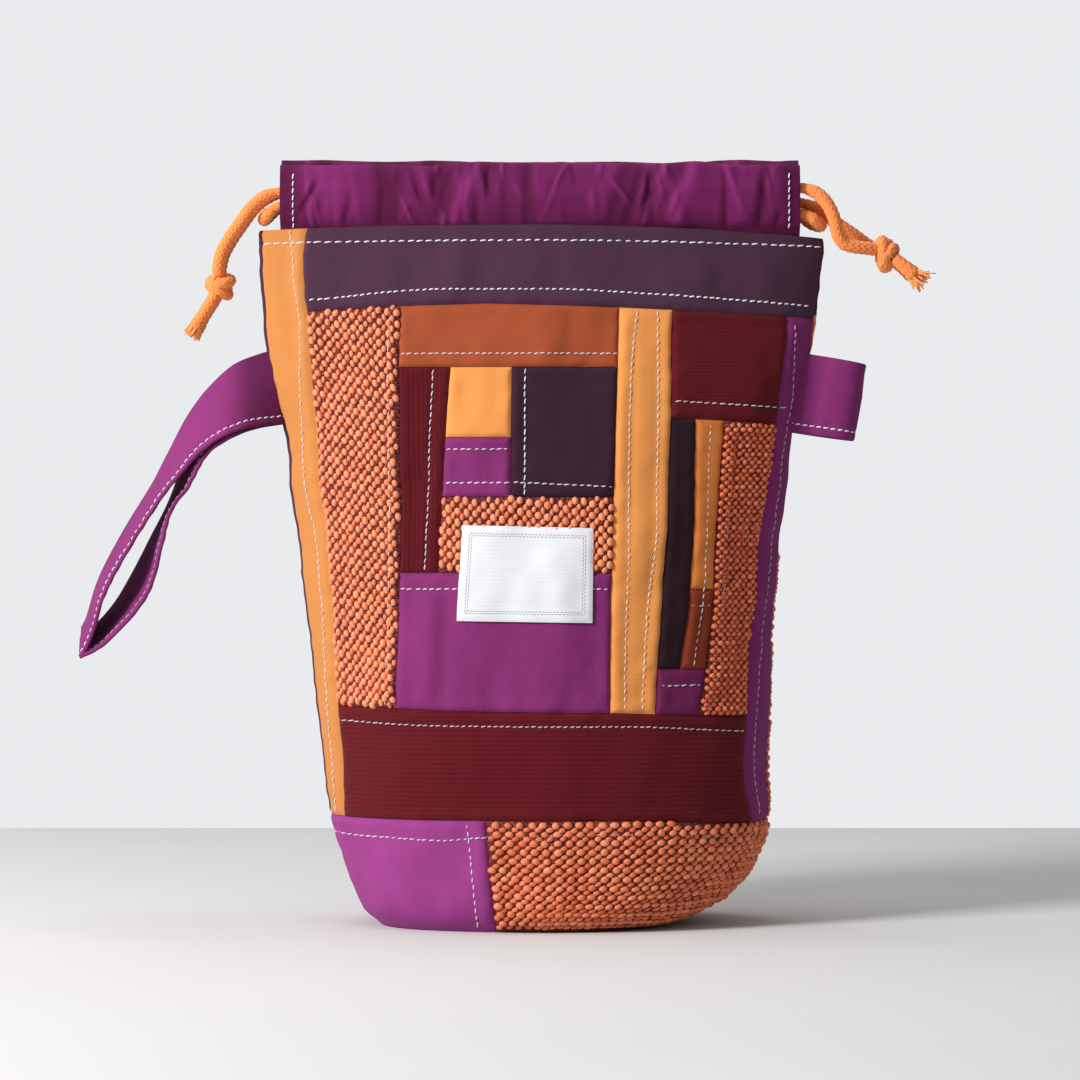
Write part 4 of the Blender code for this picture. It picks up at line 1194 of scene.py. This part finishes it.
def tweed_piece(name, cloth, edges):
    """A tweed patch: its dark ground, and large and small beads that nearly touch."""
    *way, large_half, small_half, pale = TWEEDS[name]
    dice = np.random.default_rng(len(name))
    turn, height, large = bead_places(*edges, *way, dice)
    centre = skin(turn, height)
    first = unit(skin(turn + 0.4, height) - centre)
    other = unit(skin(turn, height + 0.4) - centre)
    count = len(turn)
    half = np.where(large[:, None], large_half, small_half) * dice.uniform(0.88, 1.12, (count, 2))
    high = np.where(large, 1.0, 0.74) * dice.uniform(0.85, 1.15, count)
    upright = way[-1]
    turned = np.where(large, 0.1, -0.1 if upright else 0.35) + dice.normal(0, 0.14, count)
    # Painted light and shade: each patch's paleness follows how light falls on it, and the small
    # beads are painted darker than the large.
    tint = np.clip(pale + np.where(large, 0.10, -0.12) + dice.normal(0, 0.2, count), 0, 1)
    size = np.column_stack([half, high])
    spots, sides, tips, spot_map = domes(centre, first, other, size, turned)
    points, faces, uv = cloth
    ground = len(points)
    return build(name + "_cloth", np.concatenate([points, spots]),
                 np.concatenate([faces, sides + ground]),
                 [FINISHES["tweed_ground"], FINISHES["tweed_yarn"]],
                 np.concatenate([uv, spot_map]), len(faces), tips + ground,
                 {"tint": np.concatenate([np.zeros(ground), np.repeat(tint, BEAD_POINTS)])})


print("a bead has", BEAD_POINTS, "points")


# %% [markdown]
# ## Patches
#
# Each patch is described by its name, the finish of its plain solid, its kind of cloth and
# the seams at its start, end, bottom and top. It keeps half a sewing gap from each of them.

# %% patches
# Patches that take another colour of their cloth. The aubergine block is cut from another
# length, dyed a little differently; the corduroy column's colour is darker and the base's purple
# lighter and bluer. The darker copies on the left side strip and on the aubergine strip, mustard
# narrow, rust narrow and small purple patch of the right side are painted shade.
DYE_AND_PAINTED_SHADE = {
    "aubergine_block": "deep_aubergine",
    "aubergine_strip": "darkest_aubergine",
    "mustard_side_strip": "side_twill",
    "mustard_narrow": "golden_twill",
    "rust_narrow": "deep_rust",
    "purple_small": "wine_cotton",
    "base_purple": "base_cotton",
    "corduroy_column": "deep_corduroy",
}
# Width and height of a grid cell: fine across the wales of corduroy
CELLS = {"plain": (1.5, 1.5), "level": (1.6, 0.3), "upright": (0.3, 1.6), "tweed": (1.6, 1.6)}
WALE_RISE = {"level": 0.22, "upright": 0.15}
WALE_SINK = 0.16


def shell_patch(name, slot, kind, *edges):
    """One patch of the shell, in the way of its kind of cloth."""
    turn, height = places(*edges, CELLS[kind])
    raised = lift(turn, height)
    values = None
    if kind in WALE_RISE:
        across = body_point(turn, height)[..., 0]
        ribs = wale(height if kind == "level" else across, 1.25 if name == "corduroy_top" else 1.7)
        raised = raised + WALE_RISE[kind] * ribs - WALE_SINK
        values = {"wale": twice(ribs.ravel())}
    cloth = sheet(body_point(turn, height, -raised), body_point(turn, height, SHELL_THICKNESS))
    if kind == "tweed":
        made = tweed_piece(name, cloth, edges)
    else:
        points, faces, uv = cloth
        finish = FINISHES[DYE_AND_PAINTED_SHADE.get(name, slot)]
        made = build(name + "_cloth", points, faces, [finish], uv, values=values)
    stands_for(made, name)


gap = SEWN_GAP / 2
FRONT_PATCHES = [
    ("rim_band_front", "aubergine_twill", "plain", "mustard", "side", "band", "rim"),
    ("mustard_side_strip", "mustard_twill", "plain", "side", "mustard", "base", "rim"),
    ("purple_side_strip", "purple_cotton", "plain", "purple", "side", "base", "band"),
    ("tweed_left", "orange_tweed", "tweed", "mustard", "tweed", "cross", "band"),
    ("rust_top", "rust_cotton", "plain", "tweed", "strip_left", "rust", "band"),
    ("corduroy_column", "burgundy_corduroy", "upright", "tweed", "column", "tweed", "rust"),
    ("mustard_square", "mustard_twill", "plain", "column", "middle", "mustard", "rust"),
    ("purple_square", "purple_cotton", "plain", "column", "middle", "column", "mustard"),
    ("aubergine_block", "aubergine_twill", "plain", "middle", "strip_left", "column", "rust"),
    ("tweed_middle", "orange_tweed", "tweed", "column", "strip_left", "tweed", "column"),
    ("purple_block", "purple_cotton", "plain", "tweed", "strip_left", "cross", "tweed"),
    ("mustard_strip", "mustard_twill", "plain", "strip_left", "strip_right", "cross", "band"),
    ("corduroy_top", "burgundy_corduroy", "level", "strip_right", "purple", "corduroy", "band"),
    ("aubergine_strip", "aubergine_twill", "plain", "strip_right", "dark", "small", "corduroy"),
    ("mustard_narrow", "mustard_twill", "plain", "dark", "narrow", "narrow", "corduroy"),
    ("rust_narrow", "rust_cotton", "plain", "dark", "narrow", "small", "narrow"),
    ("purple_small", "purple_cotton", "plain", "strip_right", "narrow", "cross", "small"),
    ("tweed_right", "orange_tweed", "tweed", "narrow", "purple", "cross", "corduroy"),
    ("corduroy_band", "burgundy_corduroy", "level", "mustard", "purple", "base", "cross"),
]
for name, slot, kind, start, end, bottom, top in FRONT_PATCHES:
    shell_patch(name, slot, kind,
                left_seam if start == "side" else front_edge(UPRIGHT_SEAMS[start], gap),
                right_seam if end == "side" else front_edge(UPRIGHT_SEAMS[end], -gap),
                level(LEVEL_SEAMS[bottom], gap),
                rim_height if top == "rim" else level(LEVEL_SEAMS[top], -gap))
print("front patches:", len(FRONT_PATCHES))


# %% [markdown]
# ## Back
#
# The back was not photographed. Only slivers of it show beside the side seams: aubergine
# on the left, mustard and tweed on the right. It is finished plainly with those cloths.

# %% back
def from_left(height):
    """Turn of the left side seam, reached round the back."""
    return 360 + left_seam(height)


split = [(BACK_SPLIT, 0), (BACK_SPLIT, 300)]
split_left, split_right = back_edge(split, -gap, 1), back_edge(split, gap, 1)
above_base, below_band = level(base_seam, gap), flat(BACK_BAND_HEIGHT - gap)
shell_patch("rim_band_back", "aubergine_twill", "plain", right_seam, from_left,
            flat(BACK_BAND_HEIGHT + gap), rim_height)
shell_patch("back_panel", "aubergine_twill", "plain", split_left, from_left,
            above_base, below_band)
shell_patch("back_mustard", "mustard_twill", "plain", right_seam, split_right,
            flat(BACK_ROW + gap), below_band)
shell_patch("back_tweed", "orange_tweed", "tweed", right_seam, split_right,
            above_base, flat(BACK_ROW - gap))
print("back patches: 4")


# %% [markdown]
# ## Base
#
# Two pieces make the round bottom. Each runs from its seam on the front down, under the
# pouch and up the back. Its grid starts on the straight seam under the bottom, spreads out
# to the outline on the floor and then climbs the sides.

# %% base
BASE_CLIMB = np.array([0, 1.2, 2.5, 4, 6, 8, 10, 12, 14.5, 17, 19.5, 22, 24.5, 27, 29.5, 32,
                       34.5, 37, 38.6, 39.6, 40.4, 41])
BASE_CELL = 1.5


def base_piece(name, start, end):
    """A base piece with its flat underside."""
    top = level(base_seam, -gap)
    count = int((end(0.0) - start(0.0)) / BASE_CELL)
    u, height = np.meshgrid(np.linspace(0, 1, count), BASE_CLIMB)
    share = height / BASE_CLIMB[-1]
    turn, height = between(start, end, u, height, lambda across: share * top(across))
    grids = []
    for raised in (lift(turn, height), -SHELL_THICKNESS + 0 * height):
        wall = body_point(turn, height, -raised)
        seam = wall[0, :1] + (wall[0, -1:] - wall[0, :1]) * u[0][:, None]
        inward = np.linspace(1, 0.06, 12)[:, None, None]
        under = wall[0][None] + (seam - wall[0])[None] * inward
        grids.append(np.concatenate([under, wall]))
    points, faces, uv = cloth = sheet(*grids)
    if name in TWEEDS:
        made = tweed_piece(name, cloth, (start, end, flat(0.6), top))
    else:
        made = build(name + "_cloth", points, faces, [FINISHES[DYE_AND_PAINTED_SHADE[name]]], uv)
    stands_for(made, name)


seam = UPRIGHT_SEAMS["base"]
base_piece("base_purple", back_edge(seam, -gap, -1), front_edge(seam, -gap))
base_piece("base_tweed", front_edge(seam, gap), back_edge(seam, gap, 1))
print("base pieces: 2")


# %% [markdown]
# ## Lining
#
# The lining is one cup of thin cotton inside the shell. It steps in under the flaps of the
# two casings.

# %% lining
LINING_THICKNESS = 1.0
LINING_STEP = 1.8
LINING_CLIMB = [0, 3, 6, 12, 22, 38, 60, 85, 115, 145, 175, 200, 222, 236, 243, 248, 0]
turns = np.arange(-180, 180, 3.0)
turn, height = np.meshgrid(turns, np.array(LINING_CLIMB))
height[-1] = rim_height(body_point(turns, 258.8 + 0 * turns)[..., 0])
across = body_point(turn, height)[..., 0]
outside = SHELL_THICKNESS + LAYER_GAP + ease((height - rim_height(across) + 16) / 5) * LINING_STEP
lining_grids = []
for inset in (outside, outside + LINING_THICKNESS):
    wall = body_point(turn, height, inset)
    inward = np.linspace(0.96, 0.1, 8)[:, None, None]
    under = wall[0] + (wall[0].mean(axis=0) - wall[0]) * inward
    lining_grids.append(np.concatenate([under, wall]))
points, faces, uv = sheet(*lining_grids, ring=True, floor=True)
ring = np.arange(len(turns))
floors = [ring[::-1], len(points) // 2 + ring]
lining = build("lining_cup", points, faces, [FINISHES["lining_cotton"]], uv, None, floors)
stands_for(lining, "lining")
print("lining height:", round(float(height[-1].max())), "mm")


# %% [markdown]
# ## Casings
#
# A casing is a strip of purple cotton folded over the cords and sewn into the rim. Where
# the mouth is drawn in, the cloth gathers: it falls in soft upright folds that are deepest
# at the rim and fade towards the fold at the top, with small slanted creases over them.

# %% casings
FLAP_DEPTH = 9.0
FLAP_THICKNESS = 1.0
CASING_TOP = 282.0
BACK_CASING_RISE = 2.5
CHANNEL_HALF = 2.5
CASING_WALL = 0.65
CASING_SIDES = 112
GATHERS = 76
CREASES = 70


def gathers(across, height, seed):
    """Depth of the soft upright folds and small creases of a casing."""
    dice = np.random.default_rng(seed)
    total = 0 * across
    share = np.clip((height - 257) / 25, 0, 1)
    for _ in range(GATHERS):
        place = dice.uniform(-92, 92)
        slope = dice.normal(0, 0.18)
        width = dice.uniform(0.9, 3.8)
        depth = dice.normal(0, 0.55 + 0.20 * width)
        fade = dice.uniform(0.05, 1.0)
        strength = (1 - share) * fade + share * (1 - fade) * 0.8
        total = total + depth * strength * bell(across - place - slope * (height - 262), width)
    for _ in range(CREASES):
        place, middle = dice.uniform(-92, 92), dice.uniform(258, 284)
        slope, width = dice.normal(0, 0.30), dice.uniform(0.7, 1.5)
        depth, reach = dice.normal(0, 0.60), dice.uniform(3, 7)
        crease = bell(across - place - slope * (height - middle), width)
        total = total + depth * (crease * bell(height - middle, reach))
    inside = ease((height - 257) / 4) * ease((94 - np.abs(across)) / 8)
    return np.clip(total + 0.7, -0.35, 3.2) * inside


def casing_outline(across, top, middle, near, far):
    """Section of a casing from its outer flap up, over the cords and down again."""
    rim = rim_height(across)
    flare, low = rim + 4.1, rim - FLAP_DEPTH
    outside = SHELL_THICKNESS + LAYER_GAP
    behind = outside + FLAP_THICKNESS
    return [
        (body_depth(across, low, outside), low),
        (body_depth(across, rim, outside), rim + 0.5),
        (far, flare), (far + 0.1, flare + 6), (far - 0.1, top - 8), (far - 0.5, top - 4.5),
        (middle + 1.9, top - 1.6), (middle + 0.7, top - 0.1),
        (middle - 0.7, top - 0.1), (middle - 1.9, top - 1.6),
        (near + 0.3, top - 6), (near, flare + 7), (near, flare),
        (body_depth(across, rim, behind), rim + 0.5),
        (body_depth(across, low, behind), low),
    ]


def casing_grid(side, rise, seed):
    """Outside and inside grid of a casing, one row for each place across."""
    end = [95.6, 96.3, CASING_HALF_WIDTH]
    across = np.concatenate([-np.array(end[::-1]), np.arange(-94.8, 94.9, 0.79), end])
    top = CASING_TOP + rise + 0 * across
    flare = rim_height(across) + 4.1
    middle = casing_line(across)
    far = middle + CHANNEL_HALF + CASING_WALL
    near = middle - CHANNEL_HALF - CASING_WALL - 4.7 * crossing(across)
    outline = casing_outline(across, top, middle, near, far)
    loop = np.stack([np.stack([y, z], axis=-1) for y, z in outline + outline[:1]], axis=1)
    share = np.linspace(0, 1, CASING_SIDES + 1)[:-1]
    rows = []
    for ring in loop:
        along = travelled(ring)
        rows.append([np.interp(share * along[-1], along, ring[:, k]) for k in range(2)])
    ring = np.array(rows).transpose(0, 2, 1)
    for _ in range(3):
        ring = (np.roll(ring, 1, axis=1) + 2 * ring + np.roll(ring, -1, axis=1)) / 4
    depth, height = ring[..., 0], ring[..., 1]
    wide = across[:, None] + 0 * depth
    folds = gathers(wide, height, seed)
    centre = ((far + near) / 2)[:, None]
    outward = depth > centre
    cords = (LEFT_IN_FRONT, RIGHT_IN_FRONT) if side < 0 else (LEFT_IN_BACK, RIGHT_IN_BACK)
    ridges = sum(0.35 * bell(height - at_points(line, wide), 2.4) for line in cords)
    depth = depth + folds * np.where(outward, 1.0, 0.35) + np.where(outward, ridges, -0.3 * ridges)
    dip = 0.8 * waves(wide, 0 * wide, 60, seed + 1)
    dip = dip * ease((height - 262) / 18) * ease((92 - np.abs(wide)) / 20)
    ripple = 0.5 * waves(wide, 0 * wide, 26, seed + 2) * ease((height - 272) / 8)
    height = height + (0.6 * dip + ripple) * ease((94 - np.abs(wide)) / 8)
    slim = centre + np.sign(depth - centre) * np.maximum(np.abs(depth - centre) - CASING_WALL, 0.3)
    slim = np.clip(slim, (near + CASING_WALL)[:, None],
                   (far - CASING_WALL)[:, None] + np.where(outward, folds, 0))
    raised = np.clip(height, (flare + 0.4)[:, None], (top - 1.4)[:, None])
    # Painted shade for the collar cotton: darker in the hollows of the gathers and lower down,
    # towards the rim.
    painted_fold_shade = ease((folds + 0.1) / 1.7) * (0.55 + 0.45 * ease((height - 260) / 14))
    outer = np.stack([wide, side * depth, height], axis=-1)
    return outer, np.stack([wide, side * slim, raised], axis=-1), painted_fold_shade


def casing_piece(node, side, rise, seed):
    """A casing: a folded tube, open at both ends."""
    outer, inner, painted_fold_shade = casing_grid(side, rise, seed)
    if side < 0:
        outer, inner, painted_fold_shade = outer[:, ::-1], inner[:, ::-1], painted_fold_shade[:, ::-1]
    points, faces, uv = sheet(outer, inner, ring=True)
    made = build(node + "_cloth", points, faces, [FINISHES["collar_cotton"]], uv,
                 values={"fold": twice(painted_fold_shade.ravel())})
    stands_for(made, node)
    return outer


front_casing_grid = casing_piece("front_casing", -1, 0.0, 21)
casing_piece("back_casing", 1, BACK_CASING_RISE, 34)
print("casing rings:", len(front_casing_grid))


# %% [markdown]
# ## Woven label
#
# The label is a piece of white satin with a thin grey border woven in. The words it bears
# on the real pouch are left out.

# %% label
LABEL_LEFT = [(-29.3, 112.9), (-27.9, 147.6)]
LABEL_RIGHT = [(18.8, 112.2), (19.2, 146.5)]
LABEL_TOP = [(-28, 147.6), (19.2, 146.5)]
LABEL_BOTTOM = [(-29.3, 112.9), (18.9, 112.2)]
LABEL_LIFT = 0.45
turn, height = places(front_edge(LABEL_LEFT), front_edge(LABEL_RIGHT),
                      level(LABEL_BOTTOM), level(LABEL_TOP), (0.8, 0.8))
across = body_point(turn, height)[..., 0]
rise = sag(across, height, True) + LABEL_LIFT
to_edge = np.minimum.reduce([
    across - across_at(LABEL_LEFT, height), across_at(LABEL_RIGHT, height) - across,
    height - at_level(LABEL_BOTTOM, across), at_level(LABEL_TOP, across) - height])
pillow = 0.35 + 0.4 * ease(to_edge / 1.6) + 0.16 * waves(across, height, 13, 40)
points, faces, uv = sheet(body_point(turn, height, -(rise + pillow)),
                          body_point(turn, height, -rise))
label = build("label_satin", points, faces, [FINISHES["label_satin"]], uv,
              values={"edge": twice(to_edge.ravel())})
stands_for(label, "label")
print("label is", round(float(across.max() - across.min()), 1), "mm wide")


# %% [markdown]
# ## Wrist strap and side tab
#
# Both are strips of purple cotton folded lengthwise and stitched along the edge. The strap
# leaves the left seam, hangs down, folds over at its end and comes back. The tab is a short
# loop on the right seam. A strip is a soft rectangular section carried along its middle
# line.

# %% strap
STRAP_WIDTH = 27.6
STRAP_THICKNESS = 2.0
STRAP_PLY_GAP = 0.6
STRAP_PRESSED = 1.5
STRAP_SEAM = (213.2, 185.8)
ROOT_GAP = 0.7
ROOT_TUCK = 3.0
# Place across, height, and how far its half width leads across and up
STRAP_OUT = [
    (-109.8, 196.3, 3.2, -12.2), (-120.2, 190.3, 3.2, -9.8), (-128.5, 182.3, 3.3, -7.4),
    (-136.5, 170.4, 3.5, -4.1), (-143.0, 160.2, 3.3, -2.2), (-154.6, 141.6, 3.1, -2.0),
    (-163.9, 123.6, 2.8, -2.0), (-168.9, 107.8, 1.8, -4.6),
]
STRAP_TURN = [
    (-171.2, 103.9, 1.2, -5.2),
    (-167.0, 105.2, 2.0, -4.2), (-158.0, 113.2, 3.4, -3.4), (-149.4, 125.5, 5.0, -2.2),
    (-143.4, 140.7, 3.6, -1.2), (-138.2, 154.1, 1.9, -1.2), (-132.6, 165.0, 2.8, -3.0),
]
STRAP_SHARED = 3
STRAP_STITCH = STRAP_WIDTH - 2.3
TAB_WIDTH = 29.2
TAB_LENGTH = 22.4
TAB_THICKNESS = 2.0
TAB_SWELL = 4.2
TAB_HEIGHT = 196.8
TAB_DROOP = 9.0
TAB_STITCH = TAB_WIDTH - 2.8
# How far out along the tab, and how wide its loop is there
TAB_LOOP = [(0.28, 0.6), (0.5, 0.93), (0.7, 1.0), (0.84, 0.86), (0.94, 0.5)]


def strap_half(across, up):
    """Half width vector of the strap: the near edge lies low, the far edge high."""
    half = STRAP_WIDTH / 2
    near = math.sqrt(max(half**2 - across**2 - up**2, 0))
    return unit(np.array([across, -near, up])) * half


def root_on_seam(high, low, side):
    """Middle and half width of a strip where it leaves the left (0) or right (1) seam."""
    sign = (-1, 1)[side]
    high_x, low_x = [sign * (section(z)[side] + ROOT_GAP) for z in (high, low)]
    middle = np.array([(high_x + low_x) / 2, 0, (high + low) / 2])
    return middle, np.array([(low_x - high_x) / 2, 0, (low - high) / 2])


def strap_lines():
    """Middle line of the strap and its half width at each point."""
    spacing = STRAP_THICKNESS + STRAP_PLY_GAP
    root, root_half = root_on_seam(*STRAP_SEAM, 0)
    out = [np.array([x, -4.8 * bell(x + 113, 9.0), z]) for x, z, _, _ in STRAP_OUT]
    halves = [root_half] + [strap_half(a, u) for _, _, a, u in STRAP_OUT]
    normals = unit(np.cross(np.gradient(np.array([root] + out), axis=0), np.array(halves)))
    normals *= np.sign(normals[:, 1:2])
    first = [root - normals[0] * spacing / 2] + out
    back = [np.array([x, 0, z]) for x, z, _, _ in STRAP_TURN]
    back_half = [strap_half(a, u) for _, _, a, u in STRAP_TURN]
    shared = [first[k] + normals[k] * spacing for k in range(STRAP_SHARED, -1, -1)]
    centres = np.array(first + back + shared)
    centres[[0, -1]] += (ROOT_TUCK, 0, 0)
    return centres, np.array(halves + back_half + halves[STRAP_SHARED::-1])


def tab_lines():
    """Middle line of the tab and its half width at each point."""
    near = (TAB_THICKNESS + STRAP_PLY_GAP) / 2
    reach = TAB_LENGTH - TAB_THICKNESS / 2
    plan = [(0.0, near)] + [(reach * s, TAB_SWELL * w) for s, w in TAB_LOOP]
    plan = [(s, -w) for s, w in plan] + [(reach, 0.0)] + plan[::-1]
    root, half = root_on_seam(TAB_HEIGHT + TAB_WIDTH / 2, TAB_HEIGHT - TAB_WIDTH / 2, 1)
    droop = math.radians(TAB_DROOP)
    out = np.array([math.cos(droop), 0, -math.sin(droop)])
    centres = np.array([root + out * s + np.array([0, y, 0]) for s, y in plan])
    centres[[0, -1]] -= out * ROOT_TUCK
    upright = np.array([-math.sin(droop), 0, -math.cos(droop)]) * TAB_WIDTH / 2
    halves = np.array([half + (upright - half) * ease(np.array(s / reach)) for s, _ in plan])
    return centres, halves


def strip_surface(centres, halves, thickness, stitch_at, count):
    """Two sides of a strip: round edges, a dip under its stitch line and small puckers."""
    along = travelled(centres)
    place = np.linspace(0, along[-1], count)
    middle = read_path(centres, place)
    half = np.stack([smooth(along, halves[:, k], place) for k in range(3)], axis=-1)
    normal = unit(np.cross(np.gradient(middle, axis=0), half))
    width = 2 * np.linalg.norm(half[0])
    edge = np.array([0, 0.15, 0.4, 0.8, 1.3, 1.8, 2.3, 2.8, 3.4, 4.2])
    across = np.concatenate([edge, np.linspace(5.2, width - 5.2, 14), width - edge[::-1]])
    deep = np.minimum(across, width - across)
    profile = np.sqrt(np.clip(1 - (1 - np.clip(deep / (thickness / 2), 0, 1)) ** 2, 0, 1))
    dip = 0.30 * bell(across - stitch_at, 0.7) - 0.14 * bell(across - stitch_at / 2, 0.9)
    column = place[:, None]
    swell = 0.16 * np.sin(2 * math.pi * column / 7.3 + 3 * waves(column, 0.0, 30, 3))
    swell = swell * bell(across - stitch_at, 4.0)
    swell = swell + 0.3 * waves(column, across[None], 22, 4) * ease(deep / 5)
    plane = middle[:, None] + half[:, None] * (across * 2 / width - 1)[None, :, None]
    sides = []
    for sign in (1, -1):
        height = sign * (thickness / 2 * profile - dip * (profile > 0.9)) + swell * profile
        sides.append(plane + normal[:, None] * height[..., None])
    return sides, normal, across, along[-1]


def strip_piece(name, node, finish, lines, thickness, stitch_at, count):
    """A strip of folded cloth as one closed piece. The strap has painted shade at its root."""
    (top, low), normal, across, length = strip_surface(*lines, thickness, stitch_at, count)
    loop = np.concatenate([top[:, 1:-1], low[:, ::-1]], axis=1)
    rows, columns = loop.shape[:2]
    ends = [np.arange(columns), ((rows - 1) * columns + np.arange(columns))[::-1]]
    # fold falls to 0 near the left seam: painted shade on the strap's root.
    made = build(name, loop, quads(rows, columns, True)[:, ::-1], [FINISHES[finish]],
                 cloth_map(loop), None, ends, {"fold": ease((-106.5 - loop[..., 0]) / 13.0)})
    stands_for(made, node)
    return top, low, normal, across, length


strap_top, strap_low, strap_normal, strap_across, strap_length = strip_piece(
    "wrist_strap_cloth", "wrist_strap", "strap_cotton", strap_lines(), STRAP_PRESSED,
    STRAP_WIDTH - 2.2, 190)
_, tab_low, tab_normal, tab_across, tab_length = strip_piece(
    "side_tab_cloth", "side_tab", "purple_cotton", tab_lines(), TAB_THICKNESS, TAB_STITCH, 60)
print("strap strip length:", round(strap_length), "mm; tab strip:", round(tab_length), "mm")


# %% [markdown]
# ## Topstitches
#
# White thread shows as a row of short capsules 2.3 to 3.4 mm apart. Each lies along its
# line, dips into the cloth at both ends and leans a little, as a lock stitch does.

# %% stitches
THREAD_SIDES = 6
THREAD_RADIUS = 0.23
THREAD_SHARE = 0.8
STITCH_LEAN = 0.32
# Rings of a stitch: place along it, thickness and rise as shares of its radius
STITCH_RINGS = np.array([
    (0, 0.25, -0.6), (0.08, 0.8, -0.1), (0.3, 1, 0.75), (0.5, 1.05, 0.95), (0.7, 1, 0.75),
    (0.92, 0.8, -0.1), (1, 0.25, -0.6),
])
STITCH_POINTS = len(STITCH_RINGS) * THREAD_SIDES


def capsules(first, last, outward, radius):
    """Threads from first to last that bulge outward: points and faces."""
    run = last - first
    side = unit(np.cross(run, outward))
    lean = np.where(np.abs(run[:, 0]) > np.abs(run[:, 2]), -STITCH_LEAN, STITCH_LEAN)
    share, thick, rise = STITCH_RINGS.T[:, None, :, None]
    core = first[:, None] + run[:, None] * share + outward[:, None] * (rise * radius)
    core = core + side[:, None] * (share - 0.5) * lean[:, None, None]
    angle = np.radians(np.arange(THREAD_SIDES) * 60)[None, None, :, None]
    round_it = side[:, None, None] * np.cos(angle) + outward[:, None, None] * np.sin(angle)
    ring = core[:, :, None] + (thick * radius)[..., None] * round_it
    start = (np.arange(len(first)) * STITCH_POINTS)[:, None, None]
    sides = quads(len(STITCH_RINGS), THREAD_SIDES, True)
    return ring.reshape(-1, 3), (sides[None] + start).reshape(-1, 4)


def thread_piece(name, runs, bright):
    """All stitches of a set of runs as one piece, closed at their ends.

    bright tells for each run how white its thread looks, from 0 to 1: painted light and shade on
    the thread.
    """
    points, faces, ends, tint = [], [], [], []
    count = 0
    dice = np.random.default_rng(6)
    corner = np.arange(THREAD_SIDES)
    for (first, last, outward), white in zip(runs, bright):
        made, sides = capsules(first, last, outward, THREAD_RADIUS * (0.75 + 0.5 * white))
        points.append(made)
        faces.append(sides + count)
        base = count + np.arange(len(first))[:, None] * STITCH_POINTS
        tail = base + STITCH_POINTS - THREAD_SIDES
        ends.append(np.concatenate([base + corner[::-1], tail + corner]))
        seen = np.clip(white + dice.normal(0, 0.08, len(first)), 0, 1)
        tint.append(np.repeat(seen, STITCH_POINTS))
        count += len(made)
    points = np.concatenate(points)
    made = build(name, points, np.concatenate(faces), [FINISHES["white_thread"]],
                 points[:, [0, 2]], None, np.concatenate(ends), {"tint": np.concatenate(tint)})
    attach(made, "root")


def run_on_front(line, upright, pitch, seed):
    """Ends of the stitches along a line of the front, and the way outward at each."""
    traced = trace(line, upright, 0.5)
    along = travelled(traced)
    dice = np.random.default_rng(seed)
    count = round(along[-1] / pitch)
    pitch = along[-1] / count
    starts = (np.arange(count) + 0.1) * pitch + dice.normal(0, 0.10, count)
    ends = []
    for offset in (0.0, pitch * THREAD_SHARE):
        x, z = [np.interp(starts + offset, along, traced[:, k]) + dice.normal(0, 0.06, count)
                for k in range(2)]
        ends.append(skin(front_turn(x, z), z, 0.05))
    x, z = [np.interp(starts, along, traced[:, k]) for k in range(2)]
    turn = front_turn(x, z)
    here = body_point(turn, z)
    outward = np.cross(body_point(turn + 0.3, z) - here, body_point(turn, z + 0.3) - here)
    return *ends, unit(outward)


def run_on_grid(line, outward_from):
    """The same along a line of points with the way outward at each."""
    along = travelled(line)
    starts = np.arange(0.5, along[-1] - STITCH_PITCH, STITCH_PITCH)
    ends = [read_path(line, starts + offset, straight)
            for offset in (0, STITCH_PITCH * THREAD_SHARE)]
    outward = [np.interp(starts, along, outward_from[:, k]) for k in range(3)]
    return *ends, unit(np.stack(outward, axis=-1))


def strip_run(side, outward, across, at):
    """Stitches on one side of a strip, at a distance from its edge."""
    return run_on_grid(side[:, int(np.argmin(np.abs(across - at)))], outward)


def casing_hem(at):
    """Stitches down the hem at one end of the front casing."""
    ring = front_casing_grid[int(np.argmin(np.abs(front_casing_grid[:, 0, 0] - at)))]
    shown = (ring[:, 1] < np.median(ring[:, 1])) & (ring[:, 2] > 257.0) & (ring[:, 2] < 280.5)
    front = ring[shown][np.argsort(ring[shown][:, 2])]
    return run_on_grid(front, np.tile((0.0, -1.0, 0.0), (len(front), 1)))


front_runs, bright = [], []
for k, (white, line) in enumerate(UPRIGHT_STITCHES):
    front_runs.append(run_on_front(line, True, STITCH_PITCH, k))
    bright.append(white)
for k, (white, pitch, line) in enumerate(LEVEL_STITCHES):
    front_runs.append(run_on_front(line, False, pitch, 20 + k))
    bright.append(white)
thread_piece("front_topstitching", front_runs, bright)
# The stitches on the strap's other side are painted greyer: painted shade.
thread_piece("strap_topstitching", [
    strip_run(strap_top, strap_normal, strap_across, STRAP_STITCH),
    strip_run(strap_low, -strap_normal, strap_across, STRAP_STITCH),
    strip_run(tab_low, -tab_normal, tab_across, TAB_STITCH)], (0.8, 0.3, 1.0))
thread_piece("casing_topstitching", [casing_hem(-91.6), casing_hem(92.7)], (0.9, 0.9))
print("stitches:", sum(len(run[0]) for run in front_runs))
